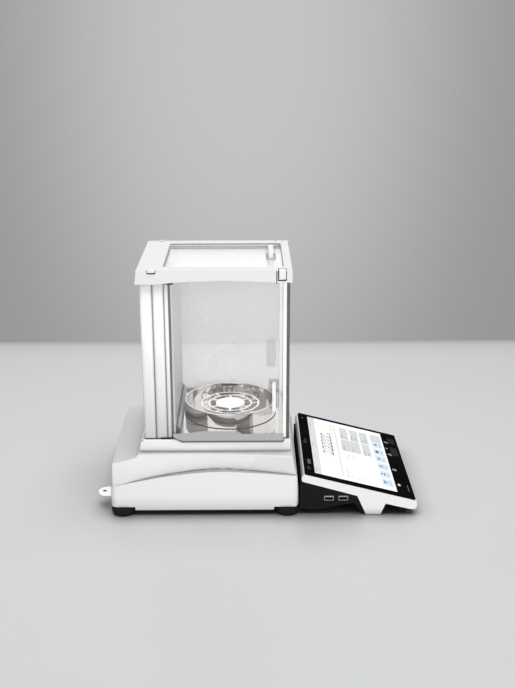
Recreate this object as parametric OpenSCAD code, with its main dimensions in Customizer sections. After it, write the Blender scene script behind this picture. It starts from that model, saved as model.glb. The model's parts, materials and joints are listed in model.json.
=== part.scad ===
// Analytical balance: a base with the weighing cell, a glass draught shield on it, and a
// separate display terminal in front. z = 0 is the bench, the left side is at -x, the front
// and the terminal are towards -y. placed() puts the middle of the footprint at y = 0.

/* [Base] */
// Width of the base across the sides
base_w = 223; // [221:0.5:226]
// Length of the base, rear wall to front wall
base_l = 265; // [263:0.5:268]
// Wall thickness of the two base shells
shell_t = 3; // [2.4:0.1:3.4]
// Depth of the scalloped waist in the middle of each side
waist = 7.8; // [4:0.1:9]
// Radius of a levelling wheel
wheel_r = 17; // [14:0.5:17.5]
// Thread radius of the levelling studs
stud_r = 4; // [3:0.5:5]

/* [Weighing chamber] */
// Height of the top face above the bench
total_h = 350; // [348:0.5:356]
// Width over the top frame
frame_w = 184.8; // [184:0.2:186]
// Thickness of the draught shield glass
glass_t = 3; // [2.6:0.1:3.1]
// Height of the polished chamber floor above the bench
floor_z = 112; // [111.8:0.1:112.4]
// Outer radius of the draught ring
ring_r = 66.6; // [60:0.5:68]
// Outer radius of the weighing pan
pan_r = 43; // [38:0.5:46]
// Number of spokes between two rings of the pan
pan_spokes = 6; // [4:1:8]
// Number of slots in the air outlet strip
vent_n = 16; // [8:1:18]

/* [Door handles] */
// Width of a handle
handle_w = 14; // [12:0.5:15]
// Height of a side door handle
handle_h = 41; // [30:1:46]
// How far a side handle stands out from the glass
handle_out = 14.5; // [10:0.5:15]

/* [Display terminal] */
// Width of the terminal
term_w = 226.6; // [224:0.5:228]
// Thickness of the touch glass
touch_t = 2.2; // [1.8:0.1:2.4]
// Height of the visible display area along the slope
disp_h = 121; // [110:1:122]
// Width of the visible display area
disp_w = 208; // [180:1:208]

/* [Weighing cell] */
// Radius of the load spindle
spindle_r = 4; // [3:0.1:4]
// Radius of the built-in calibration weight
cal_r = 9; // [7:0.5:9]
// Mean radius of the force coil
coil_r = 13; // [12.6:0.1:13.4]

/* [Hidden] */
$fn = 48;
half_w = base_w / 2;
half_l = base_l / 2;
frame_half = frame_w / 2;
term_half = term_w / 2;
gap = 0.05; // between neighbouring parts
slide_play = 0.3; // around the sliding door glasses
glass_tint = [0.8, 0.9, 0.9, 0.35];
grip_tint = [0.9, 0.9, 0.9, 0.6];

// The rear tip of the lug and the front edge of the terminal set the middle of the footprint.
lug_tip = 153.7;
term_front = 298.2; // distance forward
shift_y = (term_front - lug_tip) / 2;
lug_r = 12.2;
lug_x = -76.2;

// Base
foot_x = 99.6;
foot_y = 115.5;
chassis_z = 13.2;
chassis_top = 18.8;
on_chassis = chassis_top + gap;
pan_y = -34.6;
cell_screw_x = 24;
cell_screw_y = [0, 60];
cell_screw_r = 2;
cell_boss_h = 5.2;

// Draught shield
side_glass_x = [83.6, 83.6 + glass_t];
shield_z = 107.1; // foot of the tower and of the front glass
tower_top = 337.8;
tower_half = 83;
passage_x = [-60, 60]; // opening through the shield base into the tower
passage_y = [52, 76];
top_door_z = [342, 346];

// ---------- helpers ----------
function span(half, mid = 0) = [mid - half, mid + half];
// closes a half outline, given at y > 0, with its mirror image
function mirrored(half) = concat([for (p = half) [p.x, -p.y]],
  [for (i = [len(half) - 1:-1:0]) half[i]]);

module placed() translate([0, shift_y, 0]) children();
module at_pan() translate([0, pan_y, 0]) children();
module at_foot(sx, sy) translate([sx * foot_x, sy * foot_y, 0]) children();
module at_feet() for (sx = [-1, 1], sy = [-1, 1]) at_foot(sx, sy) children();
module at_cell_screws() for (sx = [-1, 1], y = cell_screw_y)
  translate([sx * cell_screw_x, y, 0]) children();
module both_sides() {
  children();
  mirror([1, 0, 0]) children();
}
// each argument is a [from, to] range
module box(x, y, z) translate([x[0], y[0], z[0]]) cube([x[1] - x[0], y[1] - y[0], z[1] - z[0]]);
// outline given as (y, z), swept along x
module along_x(x) translate([x[0], 0, 0]) rotate([90, 0, 90]) linear_extrude(x[1] - x[0])
  children();
// outline given as (distance forward, z), swept along x
module along_x_forward(x) mirror([0, 1, 0]) along_x(x) children();
// outline given as (x, z), swept along y
module along_y(y) translate([0, y[1], 0]) rotate([90, 0, 0]) linear_extrude(y[1] - y[0])
  children();
// cylinder running forward from its rear end
module rod_forward(rear, r, h) translate(rear) rotate([90, 0, 0]) cylinder(r = r, h = h);
module tube(outer, inner, h) difference() {
  cylinder(r = outer, h = h);
  translate([0, 0, -1]) cylinder(r = inner, h = h + 2);
}
module rounded_rect(w, l, r) {
  square([w - 2 * r, l], center = true);
  square([w, l - 2 * r], center = true);
  for (sx = [-1, 1], sy = [-1, 1]) translate([sx * (w / 2 - r), sy * (l / 2 - r)]) circle(r);
}

// ---------- base shells ----------
// Seam between the two shells: highest at seam_peak_y, falling to the rear and to the front.
seam_peak_y = -24;
seam_peak_z = 66.5;
seam_steps = 26;
function seam_z(y) = let(forward = seam_peak_y - y) forward < 0
  ? seam_peak_z - 22.0 * pow(-forward / 154, 1.62)
  : seam_peak_z - 6.6 * pow(forward / 104, 1.25);
function seam_points(y0, y1, dz) = [for (i = [0:seam_steps])
  let(y = y0 + (y1 - y0) * i / seam_steps) [y, seam_z(y) + dz]];

// inset of the upper shell's side, deepest at the waist
function side_inset(y) = 0.5 + waist * max(0, 1 - pow((-y - 14) / 121, 2));
// how far the side leans inwards from its lower edge to the deck, more towards the rear
function lean(y) = let(forward = -y - 30) forward < 0 ? 5 - 0.028 * forward : 5 - 0.045 * forward;

loft_steps = 14;
// sections of the upper shell from rear to front: y, half width
function loft_stations(inset) = concat(
  [[half_l - 2 - inset, half_w - 7 - inset], [half_l - 2.9 - inset, half_w - 2.6 - inset]],
  [for (i = [0:loft_steps])
    let(y = (half_l - 4 - inset) - (base_l - 9.2 - 2 * inset) * i / loft_steps)
    [y, half_w - inset - side_inset(y)]],
  [[-half_l + 3.9 + inset, half_w - 4 - inset], [-half_l + 3 + inset, half_w - 9 - inset]]);
// right half of a section from the bottom to the deck: x, z
function loft_half(station, top, deck_half) = let(x = station[1], deck_x = x - lean(station[0])) [
  [x, 40], [x, 62], [deck_x + 0.3, top - 2.1], [deck_x - 0.6, top - 0.8],
  [deck_x - 2, top - 0.3], [deck_half, top]];
// body of the upper shell, joined from section to section
module upper_loft(inset, top, deck_half) {
  stations = loft_stations(inset);
  last = len(stations) - 1;
  n = 12; // points in a section
  points = [for (s = stations) let(half = loft_half(s, top, deck_half)) each concat(
    [for (p = half) [p[0], s[0], p[1]]],
    [for (i = [5:-1:0]) [-half[i][0], s[0], half[i][1]]])];
  // each side panel is split into two triangles
  panels = [for (s = [0:last - 1], i = [0:n - 1])
    let(a = s * n + i, b = s * n + (i + 1) % n) each [[a, a + n, b], [b, a + n, b + n]]];
  polyhedron(points = points, faces = concat(
    [[for (i = [0:n - 1]) i]], [[for (i = [n - 1:-1:0]) last * n + i]], panels));
}

module base_lower_shell() color("whitesmoke") placed() difference() {
  intersection() {
    along_x(span(half_w)) polygon(concat(
      [[half_l - 0.6, 12.8], [half_l, 14.4], [half_l, 30]],
      seam_points(half_l, -129.3, 0),
      [[-half_l, 21.4], [-half_l + 0.6, 15.6], [-half_l + 4, 12.4],
        [-96.8, 12.4], [-96.8, 8], [98.3, 8], [98.3, 12.8]]));
    linear_extrude(90) rounded_rect(base_w, base_l, 9);
  }
  // hollow, open below
  intersection() {
    along_x(span(half_w - shell_t - 0.2)) polygon(concat(
      [[half_l - 4.5, 0]], seam_points(half_l - 4.5, -half_l + 5, -3), [[-half_l + 5, 0]]));
    linear_extrude(90) rounded_rect(base_w - 2 * shell_t - 0.4, base_l - 9, 6);
  }
  box(span(97), [-120, 122], [20, 90]);
  // slots for the lug and the terminal cable
  box(span(lug_r + 0.4, lug_x), [120, 140], [18.9, 21.9]);
  box(span(12), [-140, -120], [18, 32]);
}
module base_upper_shell() color("whitesmoke") placed() difference() {
  intersection() {
    upper_loft(0, 88.7, 92);
    along_x(span(half_w)) polygon(concat(
      [[-120.0, 90.0], [87.5, 90.0], [94.2, 87.2], [95.6, 84.4],
        [125.8, 77.4], [128.9, 76.2], [130.4, 73.4]],
      seam_points(130.4, -127.6, 0.05),
      [[-127.2, 66], [-123.4, 84.6], [-122.6, 87.2]]));
  }
  intersection() {
    upper_loft(shell_t, 85.4, 88);
    along_x(span(half_w)) polygon([
      [-118.4, 86.2], [89, 86.2], [92.6, 81.4], [125.6, 73.6],
      [127.4, 70], [127.4, 41], [-124.4, 41], [-120.2, 82]]);
  }
  // openings in the deck and, for the connectors, in the rear wall
  box(span(78), [-104, 80], [80, 92]);
  box(span(68), [120, 134], [50, 69]);
}
module base_chassis() color("silver") placed() difference() {
  union() {
    translate([0, 0, chassis_z]) linear_extrude(chassis_top - chassis_z)
      rounded_rect(214, 254, 8);
    at_feet() translate([0, 0, chassis_top]) cylinder(r = 7.2, h = 14);
    at_cell_screws() translate([0, 0, chassis_top]) cylinder(r = 6, h = cell_boss_h);
  }
  at_feet() translate([0, 0, 13]) cylinder(r = stud_r + gap, h = 22);
  at_cell_screws() translate([0, 0, 13]) cylinder(r = cell_screw_r + gap, h = 12);
  // holes for the weighing hook and for the screw of its cover
  at_pan() {
    translate([0, 0, 13]) cylinder(r = 11, h = 7);
    translate([cell_screw_x, 0, 13]) cylinder(r = cell_screw_r + gap, h = 7);
  }
}
module shield_base() color("white") placed() difference() {
  along_x(span(90.5)) polygon([
    [-120.2, 88.8], [-119.5, 107], [-112, 107], [44, 107],
    [86.4, 107], [88.6, 104.6], [91.4, 88.8]]);
  along_x(span(84)) polygon([[-114.5, 88], [-114, 103], [82.5, 103], [84.5, 88]]);
  // recess for the turned-down side lips of the floor tray
  both_sides() along_x([89.9, 95]) polygon([
    [-111, 108], [-111, 106.6], [-108.8, 103.8], [30.9, 103.8],
    [38.9, 106.0], [44.2, 106.4], [44.2, 108]]);
  at_pan() translate([0, 0, 100]) cylinder(r = 15, h = 10);
  box(passage_x, passage_y, [100, 110]);
}
module security_lug() color("white") placed() difference() {
  translate([lug_x, 0, 19.05]) linear_extrude(2.6) {
    translate([-lug_r, 104]) square([2 * lug_r, 38]);
    translate([0, lug_tip - lug_r]) circle(lug_r);
  }
  translate([lug_x, 145.2, 18]) cylinder(r = 3.5, h = 5);
  translate([lug_x, 113, 18]) cylinder(r = 2.2, h = 5);
}

// ---------- rear connectors ----------
round_socket_x = -55;
round_socket_z = 60;
round_socket_r = 5.5;
// rectangular sockets: x range, z range, wall at the sides, wall above and below, cavity end y
sockets = [
  [[-40, -24], [53, 67], 1.6, 1.8, 117],
  [[-10, 3], [53.5, 65.5], 1.6, 1.8, 117],
  [[13, 26], [56.5, 63.5], 0.5, 0.5, 114],
  [[37, 50], [56.5, 63.5], 0.5, 0.5, 114]];
panel_play = [-0.2, 0.2]; // added to a socket's ranges for its cut-out

module connector_panel() color("dimgray") placed() difference() {
  box(span(72), [125.2, 127.2], [46.5, 70]);
  rod_forward([round_socket_x, 128, round_socket_z], r = round_socket_r + 0.1, h = 4);
  for (s = sockets) box(s[0] + panel_play, [124, 128], s[1] + panel_play);
}
module rear_sockets() color("black") placed() {
  difference() {
    rod_forward([round_socket_x, 129.6, round_socket_z], r = round_socket_r, h = 16);
    rod_forward([round_socket_x, 131, round_socket_z], r = 4, h = 12);
  }
  rod_forward([round_socket_x, 128, round_socket_z], r = 1, h = 9);
  for (s = sockets) difference() {
    box(s[0], [113, 129.4], s[1]);
    box(s[0] + [s[2], -s[2]], [s[4], 130], s[1] + [s[3], -s[3]]);
  }
}

// ---------- draught shield ----------
// section of the right tower profile: x, y
tower_outline = [
  [86.95, 45.8], [87.9, 45.8], [88.5, 46.4], [88.7, 48.6], [88.6, 50.6], [87.4, 50.9],
  [87.4, 52.1], [88.7, 52.4], [89.0, 56], [89.1, 59.2], [89.0, 63], [88.8, 66.2],
  [87.4, 66.5], [87.4, 67.7], [88.8, 68.0], [89.0, 72], [89.1, 75.4], [89.0, 79],
  [88.6, 82.3], [87.4, 83.7], [86.95, 83.7]];
module tower_profile() translate([0, 0, shield_z]) linear_extrude(tower_top - shield_z)
  polygon(tower_outline);
module tower_profile_left() color("gainsboro") placed() mirror([1, 0, 0]) tower_profile();
module tower_profile_right() color("gainsboro") placed() tower_profile();
module tower_rear_cover() color("white") placed() difference() {
  box(span(tower_half), [43.1, 83], [shield_z, tower_top]);
  box(span(80.6), [40, 80.6], [109.4, tower_top - 2.4]);
  box(passage_x, passage_y, [100, 112]);
  // slots across the rear face
  for (i = [0:9]) box(span(45), [79, 85], [272 + i * 5, 274.4 + i * 5]);
}
module chamber_rear_wall() color("lightgray") placed()
  box(span(tower_half), [40.4, 43.05], [112.2, tower_top]);
module air_outlet_strip() color("silver") placed() difference() {
  along_x(span(82.4)) polygon([
    [40.35, 112.15], [37.2, 112.15], [34.2, 119.6], [40.35, 127.2]]);
  for (i = [0:vent_n - 1]) translate([-76 + i * 152 / (vent_n - 1), 38.3, 124.6])
    rotate([-39, 0, 0]) cube([6.2, 2.2, 7], center = true);
  // round holes in the lower face, above the floor
  for (i = [0:21]) translate([-77.7 + i * 7.4, 35.6, 115.7])
    rotate([112, 0, 0]) cylinder(r = 1.7, h = 5, center = true, $fn = 20);
}

// side view of the top frame with its curved lower edge: y, z
frame_side = [
  [87.1, total_h], [89.3, 331.1], [61.7, 331.1], [55, 331.6], [48.4, 332.5], [35.1, 333.8],
  [18, 334.8], [1.9, 335.4], [-15, 335.8], [-31.3, 336], [-48, 335.7], [-64.5, 335.2],
  [-81, 334.5], [-97.7, 333.8], [-121.1, 333.3], [-120.8, total_h]];
frame_bulge = 1.1; // how far the sides stand out below
latch_seat_y = [-113.0, -101.8];
module top_frame() color("white") placed() difference() {
  groove_x = side_glass_x + [-slide_play, slide_play];
  intersection() {
    along_x(span(frame_half + 1.4)) polygon(frame_side);
    along_y([-130, 95]) polygon([
      [-frame_half, total_h + 1], [-frame_half - frame_bulge, 331],
      [-frame_half - frame_bulge, 320], [frame_half + frame_bulge, 320],
      [frame_half + frame_bulge, 331], [frame_half, total_h + 1]]);
  }
  // room under the rails for the tower, the doors and the front glass
  box(span(90.3), [-118.5, 84.4], [320, 337.95]);
  // opening in the top, and the groove the top door runs in, open to the rear
  translate([0, -28.45, 330]) linear_extrude(30) rounded_rect(143, 162.7, 3);
  box(span(77.6), [-112.2, 95], top_door_z + [-slide_play, slide_play]);
  // slot for the front glass
  box(span(88.8), [-118.4, -113.6], [330, 341.1]);
  both_sides() {
    // grooves for the side doors, open to the rear
    box(groove_x, [-109.2, 95], [337, 341.2]);
    box(groove_x, [84, 95], [320, 341.2]);
    // seats of the front latches and of the rear catches
    box([81.0, 95], latch_seat_y, [345.6, 352]);
    box([90.1, 95], latch_seat_y, [336.3, 352]);
    box([87.2, 95], [61.3, 72.5], [345.2, 352]);
    // parting groove between side rail and front section
    box([frame_half - 2.2, 95], [-100.4, -99.2], [330, 349]);
  }
}
module front_glass() color(glass_tint) placed()
  box(span(88.6), [-118.2, -113.8], [shield_z, 340.8]);
module front_seal_strips() color("white") placed() both_sides() difference() {
  box([85.4, 88.6], [-113.75, -109.0], [108.9, tower_top]);
  box([86.6, 88.0], [-112.9, -108.0], [120, 338.5]);
}

// turned-down side lip of the floor tray: y, z
tray_lip = [
  [43.6, 110.6], [43.6, 115.6], [22.4, 116.2], [6.4, 119], [-45.7, 119], [-52.4, 114.6],
  [-110.4, 114.8], [-110.4, 106.9], [-108.4, 104.3], [30.7, 104.3], [38.5, 108.2]];
module floor_tray() color("silver") placed() difference() {
  union() {
    box(span(83.2), [-112.6, 40.3], [110.8, floor_z]);
    both_sides() {
      box([82.0, 83.2], [-112.6, 43.0], [107.05, floor_z]);
      box([82.0, 91.5], [-110.4, 43.0], [107.05, 108.2]);
      along_x([90.2, 91.5]) polygon(tray_lip);
    }
  }
  at_pan() translate([0, 0, 100]) cylinder(r = 10, h = 20);
}
module door_guides() color("black") placed() both_sides() {
  box([87.1, 90.1], [-108.2, 42.5], [108.3, 109.9]);
  box([87.0, 90.1], [38.4, 45.0], [330.2, 337.9]);
}

// ---------- moving doors ----------
// clear grip standing on z = 0: foot in the x = 0 plane, ribbed fin towards +x, end plate on top
module grip(length, depth) {
  half = handle_w / 2;
  linear_extrude(length) polygon(mirrored([
    [0, half], [1.4, half], [2, half - 1.2], [2.4, 4.2], [4.4, 3.0],
    [depth - 3.4, 2.6], [depth - 2.2, 3.6], [depth - 0.6, 3.4], [depth, 2]]));
  translate([0, 0, length]) linear_extrude(1.6) polygon(mirrored([
    [0, half], [4, half], [depth - 2, 5], [depth + 0.4, 3]]));
}
module side_glass() box(side_glass_x, [-108.8, 50], [109.2, 340.7]);
module side_handle() translate([side_glass_x[1] + gap, -96.6, 152.3]) grip(handle_h, handle_out);
module left_door_glass() color(glass_tint) placed() mirror([1, 0, 0]) side_glass();
module left_door_handle() color(grip_tint) placed() mirror([1, 0, 0]) side_handle();
module right_door_glass() color(glass_tint) placed() side_glass();
module right_door_handle() color(grip_tint) placed() side_handle();
module top_door_glass() color(glass_tint) placed() box(span(77.1), [-111.6, 56], top_door_z);
module top_door_handle() color(grip_tint) placed()
  translate([-17.5, -93.9, top_door_z[1] + gap])
  rotate([0, -90, 0]) mirror([0, 0, 1]) grip(handle_h, 11.2);

// ---------- things in the chamber ----------
pan_z = 124.6; // underside of the pan's rings
spoke_y = [-1.2, 1.2];
spoke_z = [pan_z, 126.2];
module draught_ring() color("silver") placed() at_pan() translate([0, 0, floor_z + gap])
  rotate_extrude($fn = 96) polygon([
    [ring_r - 1.5, 0], [ring_r, 0], [ring_r, 21.2], [ring_r - 0.5, 21.7],
    [ring_r - 2.2, 21.7], [ring_r - 2.4, 21.2], [ring_r - 2.2, 20.7], [ring_r - 1.5, 20.2]]);
module weighing_pan() color("silver") placed() at_pan() difference() {
  union() {
    translate([0, 0, pan_z]) {
      tube(pan_r, pan_r - 2.2, 2.2);
      tube(32.2, 29.8, 1.8);
      cylinder(r = 21.2, h = 1.8);
    }
    // the outer spokes stand halfway between the inner ones
    for (i = [0:pan_spokes - 1]) {
      rotate([0, 0, i * 360 / pan_spokes]) box([20, 31], spoke_y, spoke_z);
      rotate([0, 0, (i + 0.5) * 360 / pan_spokes]) box([31, pan_r - 1], spoke_y, spoke_z);
    }
    translate([0, 0, 117.2]) cylinder(r = 7, h = 8);
  }
  translate([0, 0, 117]) cylinder(r = spindle_r + gap, h = 7);
}
module pan_support() color("gray") placed() at_pan() translate([0, 0, 113.4]) difference() {
  union() {
    cylinder(r = 14, h = 1.4);
    cylinder(r = 6.5, h = 3.7);
  }
  translate([0, 0, -1]) cylinder(r = spindle_r, h = 8);
}
module load_spindle() color("silver") placed() at_pan() {
  difference() {
    union() {
      translate([0, 0, 64]) cylinder(r = spindle_r, h = 59.6);
      box(span(9), [-8, 8], [36, 64]);
      // prongs that take the calibration weight
      both_sides() box([5, 8], [-40, -7], [36, 42.6]);
    }
    box(span(9.5), [3.4, 9], [44.5, 53.5]);
  }
  // hook eye for weighing below the balance
  translate([0, 0, 24]) cylinder(r = 3, h = 12);
}

// ---------- weighing cell, inside the base ----------
magnet_y = 93.5;
cal_y = -74.6;
cal_screw_x = 26;
cal_screw_r = 2.5;
fork_top = 46; // the calibration weight rests here
board_top = 25.6;

module cell_block() color("lightslategray") placed() difference() {
  union() {
    box(span(30), [-14, 70], [chassis_top + cell_boss_h + gap, 68]);
    // guide arms above and below the load receptor
    for (z = [60, 26]) both_sides() box([12, 16], [-52, -13], [z, z + 6]);
  }
  box(span(8), [-60, 80], [42, 56]);
  for (x = [-20, 20]) box(span(5, x), [8, 52], [34, 70]);
  at_cell_screws() translate([0, 0, 20]) cylinder(r = cell_screw_r + 0.02, h = 14);
}
module magnet_pot() color("dimgray") placed() translate([0, magnet_y, on_chassis])
  rotate_extrude() polygon([
    [0, 0], [22, 0], [22, 28], [coil_r + 3, 28], [coil_r + 3, 8],
    [coil_r - 3.4, 8], [coil_r - 3.4, 28], [0, 28]]);
module force_coil() color("orange") placed() translate([0, magnet_y, 0]) {
  translate([0, 0, 33]) tube(coil_r + 1, coil_r - 1, 16);
  translate([0, 0, 48.9]) cylinder(r = coil_r + 1, h = 1.6);
}
module balance_beam() color("lightsteelblue") placed() {
  box(span(5), [-29.6, 78], [48, 52]);
  box(span(5), [77, 104], [50.55, 54]);
  box(span(5), [74, 78], [48, 54]);
}
module main_board() color("darkgreen") placed() {
  box([46, 95], [-60, 100], [24, board_top]);
  for (x = [50, 91], y = [-56, 96]) translate([x, y, on_chassis]) cylinder(r = 3, h = 6);
  for (p = [[56, -40], [70, -10], [56, 30], [76, 60]])
    box([p.x, p.x + 12], [p.y, p.y + 14], [board_top + gap, 28]);
  for (p = [[86, -40], [84, 20], [62, 84]])
    translate([p.x, p.y, board_top + gap]) cylinder(r = 4, h = 11);
}
module cal_motor() color("dimgray") placed() difference() {
  box([20, 40], [-84, -64], [on_chassis, 34]);
  translate([cal_screw_x, cal_y, 30]) cylinder(r = cal_screw_r + gap, h = 6);
}
module cal_screw() color("silver") placed() translate([cal_screw_x, cal_y, 30.1]) {
  cylinder(r = cal_screw_r, h = 30);
  translate([0, 0, 28]) cylinder(r = 4, h = 3);
}
module cal_lifter() color("goldenrod") placed() difference() {
  union() {
    box([-16, 32], [-82, -68], [38, 42]);
    for (x = [-14, 12]) box([x, x + 3], [-82, -66.5], [41, fork_top]);
  }
  translate([cal_screw_x, cal_y, 36]) cylinder(r = cal_screw_r + gap, h = 8);
  // slots in line with the prongs of the load spindle
  both_sides() box([4.4, 8.6], [-75.6, -60], [36.4, 44]);
}
module cal_weight() color("silver") placed() translate([-18, cal_y, fork_top + gap + cal_r])
  rotate([0, 90, 0]) cylinder(r = cal_r, h = 36);
module chassis_screws() color("silver") placed() at_cell_screws() difference() {
  union() {
    translate([0, 0, 11.1]) cylinder(r = 3.6, h = 2.05);
    translate([0, 0, 13.1]) cylinder(r = cell_screw_r, h = 18);
  }
  translate([0, 0, 10]) cylinder(r = 1.6, h = 2.4, $fn = 6);
}
module hook_cover() color("gray") placed() at_pan() difference() {
  union() {
    translate([0, 0, 11]) cylinder(r = 14, h = 2.1);
    translate([cell_screw_x, 0, 11]) cylinder(r = 6, h = 2.1);
    box([0, cell_screw_x], [-6, 6], [11, 13.1]);
    translate([cell_screw_x, 0, 13]) cylinder(r = cell_screw_r, h = 5);
  }
  translate([cell_screw_x, 0, 10.5]) cylinder(r = 1.6, h = 1.6, $fn = 6);
}

// ---------- levelling feet ----------
module foot_pad(sx, sy) color([0.12, 0.12, 0.12]) placed() at_foot(sx, sy) {
  cylinder(r = wheel_r - 2.5, h = 2.4);
  cylinder(r = 3, h = 4);
}
module foot_wheel(sx, sy) color([0.16, 0.16, 0.16]) placed() at_foot(sx, sy) difference() {
  union() {
    translate([0, 0, 2.45]) rotate_extrude($fn = 96) polygon([
      [0, 0], [wheel_r - 1.4, 0], [wheel_r, 1.6], [wheel_r, 7.6], [wheel_r - 1.2, 9.2], [0, 9.2]]);
    translate([0, 0, 11.5]) cylinder(r = stud_r, h = 24);
  }
  translate([0, 0, 2]) cylinder(r = 3 + gap, h = 2.1);
  // finger grooves round the rim
  for (i = [0:23]) rotate([0, 0, i * 15])
    translate([wheel_r + 0.7, 0, 3]) cylinder(r = 1.1, h = 12, $fn = 16);
}
module foot_pad_fl() foot_pad(-1, -1);
module foot_pad_fr() foot_pad(1, -1);
module foot_pad_rl() foot_pad(-1, 1);
module foot_pad_rr() foot_pad(1, 1);
module foot_wheel_fl() foot_wheel(-1, -1);
module foot_wheel_fr() foot_wheel(1, -1);
module foot_wheel_rl() foot_wheel(-1, 1);
module foot_wheel_rr() foot_wheel(1, 1);

// ---------- latches and catches of the top frame ----------
module latch() along_y([-112.3, -103.1]) polygon([
  [81.8, 346.4], [90.6, 346.4], [90.6, 338.6], [91.2, 337.6], [92.9, 337.6],
  [93.5, 338.4], [93.3, 349.0], [92.6, 349.9], [82.4, 349.9], [81.8, 349.2]]);
module latch_left() color("white") placed() mirror([1, 0, 0]) latch();
module latch_right() color("white") placed() latch();
module catch_tab() box([89.2, 94.0], [62.0, 71.8], [347.2, 350.7]);
module catch_left() color("white") placed() mirror([1, 0, 0]) catch_tab();
module catch_right() color("white") placed() catch_tab();

// ---------- display terminal ----------
// top edges of the touch glass: distance forward, z
glass_rear = [140.3, 64.7];
glass_front = [296.5, 24.1];
slope_len = norm(glass_front - glass_rear);
slope_angle = atan2(glass_rear.y - glass_front.y, glass_front.x - glass_rear.x);
usb_forward = [167.2, 187.4]; // rear edges of the two cut-outs
cable_z = 25;

// frame of the touch glass: x across, y down the slope, z out of the glass
module slope() translate([0, -glass_rear.x, glass_rear.y]) rotate([slope_angle, 0, 0])
  mirror([0, 1, 0]) children();
// x = 0 at the left side, y = 0 at the rear edge of each cut-out
module at_usb() for (forward = usb_forward) translate([-term_half, -forward, 0]) children();

module terminal_housing() color("white") placed() difference() {
  union() {
    along_x_forward(span(term_half)) polygon([
      [140.0, 62.3], [138.2, 61.6], [136.0, 58.6], [135.3, 54.6], [136.4, 51.8],
      [213.8, 29.4], [253.2, 17.4], [288.6, 8.7], [294.6, 8.2], [297.2, 9.8],
      [term_front, 12.6], [298.0, 20.4], [296.0, 21.7]]);
    // side cheeks reaching down towards the bench
    both_sides() along_x_forward([term_half - 3.4, term_half]) polygon([
      [213.8, 29.4], [226.6, 0.8], [247.4, 0.8], [253.8, 17.2], [252, 21], [215, 32]]);
  }
  along_x_forward(span(term_half - 3.4)) polygon([
    [139.6, 70], [139.6, 52.0], [136, 48], [213, 26], [253, 14], [294.2, 5], [294.2, 30]]);
}
module terminal_glass() color("black") placed() slope() translate([0, 0, -touch_t])
  linear_extrude(touch_t) translate([0, slope_len / 2])
  rounded_rect(term_w - 0.4, slope_len - 0.2, 2.5);
module display_panel() color("aliceblue") placed() slope()
  translate([-disp_w / 2, 14.6, -touch_t - 3.1]) cube([disp_w, disp_h, 3]);
module terminal_board() color("darkgreen") placed() slope() {
  translate([-70, 22, -touch_t - 6.4]) cube([140, 90, 1.6]);
  for (x = [-50, -10, 30]) translate([x, 60, -touch_t - 8.3]) cube([16, 16, 1.8]);
}
module terminal_back_cover() color([0.13, 0.13, 0.13]) placed() difference() {
  union() {
    along_x_forward(span(term_half - 3.6)) polygon([
      [140.6, 56.0], [140.6, 50.9], [136.9, 50.6], [136.2, 47.4], [133.6, 46.2], [133.4, 8.6],
      [134.4, 7.6], [153.3, 6.9], [163.5, 7.2], [188.6, 12.8], [211.2, 17.4],
      [251.6, 15.2], [293.4, 9.6], [293.6, 16.2]]);
    both_sides() along_x_forward([term_half - 15, term_half - 3.6]) polygon([
      [208, 19], [221.2, 0.9], [245.6, 0.9], [252.4, 17.4], [230, 18.2]]);
  }
  // opening for the cable, and the side steps of the rear block
  rod_forward([0, -131, cable_z], r = 5.4, h = 8);
  both_sides() box([term_half - 4.3, term_half], [-142.0, -139.3], [0, 44]);
  // hollow
  along_x_forward(span(term_half - 6.4)) polygon([
    [143, 57.9], [143, 47], [136.2, 43.4], [136.2, 10.6], [163, 10.0], [188.6, 15.6],
    [212, 20.2], [252, 18.0], [291.4, 12.6], [291.4, 22]]);
  at_usb() box([0, 8], [-14.2, 0], [20.6, 28.2]);
}
module usb_sockets() color("silver") placed() at_usb() {
  difference() {
    box([3.5, 18], [-13.8, -0.4], [21.0, 27.8]);
    box([3, 16], [-13.1, -1.1], [21.7, 27.1]);
  }
  // contact tongue
  box([5, 16.2], [-12.2, -2.0], [24.9, 26.6]);
}
module terminal_feet() color([0.1, 0.1, 0.1]) placed() both_sides() {
  translate([94, -157.8, 0]) cylinder(r = 5.4, h = 6.85);
  translate([100, -277.3, 0]) cylinder(r = 7.1, h = 10.4);
}
module terminal_cable() color([0.1, 0.1, 0.1]) placed() {
  rod_forward([0, -125, cable_z], r = 5, h = 13.2);
  rod_forward([0, -138.15, cable_z], r = 2.6, h = 5.3);
}

base_lower_shell();
base_upper_shell();
base_chassis();
shield_base();
security_lug();
connector_panel();
rear_sockets();
tower_profile_left();
tower_profile_right();
tower_rear_cover();
chamber_rear_wall();
air_outlet_strip();
top_frame();
front_glass();
front_seal_strips();
floor_tray();
door_guides();
main_board();
cell_block();
magnet_pot();
cal_motor();
chassis_screws();
terminal_housing();
terminal_back_cover();
terminal_glass();
display_panel();
terminal_board();
usb_sockets();
terminal_feet();
terminal_cable();
hook_cover();
left_door_glass();
left_door_handle();
right_door_glass();
right_door_handle();
top_door_glass();
top_door_handle();
draught_ring();
weighing_pan();
pan_support();
load_spindle();
balance_beam();
force_coil();
cal_weight();
cal_lifter();
cal_screw();
latch_left();
latch_right();
catch_left();
catch_right();
foot_pad_fl();
foot_pad_fr();
foot_pad_rl();
foot_pad_rr();
foot_wheel_fl();
foot_wheel_fr();
foot_wheel_rl();
foot_wheel_rr();
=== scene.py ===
"""Laboratory balance with a glass draught shield and a sloping touch terminal.

x runs across the balance (+x is the user's right), -y is the front with the terminal, z is up and
the floor is z = 0. The camera stands on the left (-x) side and sees the terminal at the right of
the picture. Pieces are measured in mm from a datum that lies Y_SHIFT along y; materials, lights
and the stage are in metres.
"""
import json
import math
import bpy
import bmesh
from mathutils import Matrix, Vector

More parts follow.
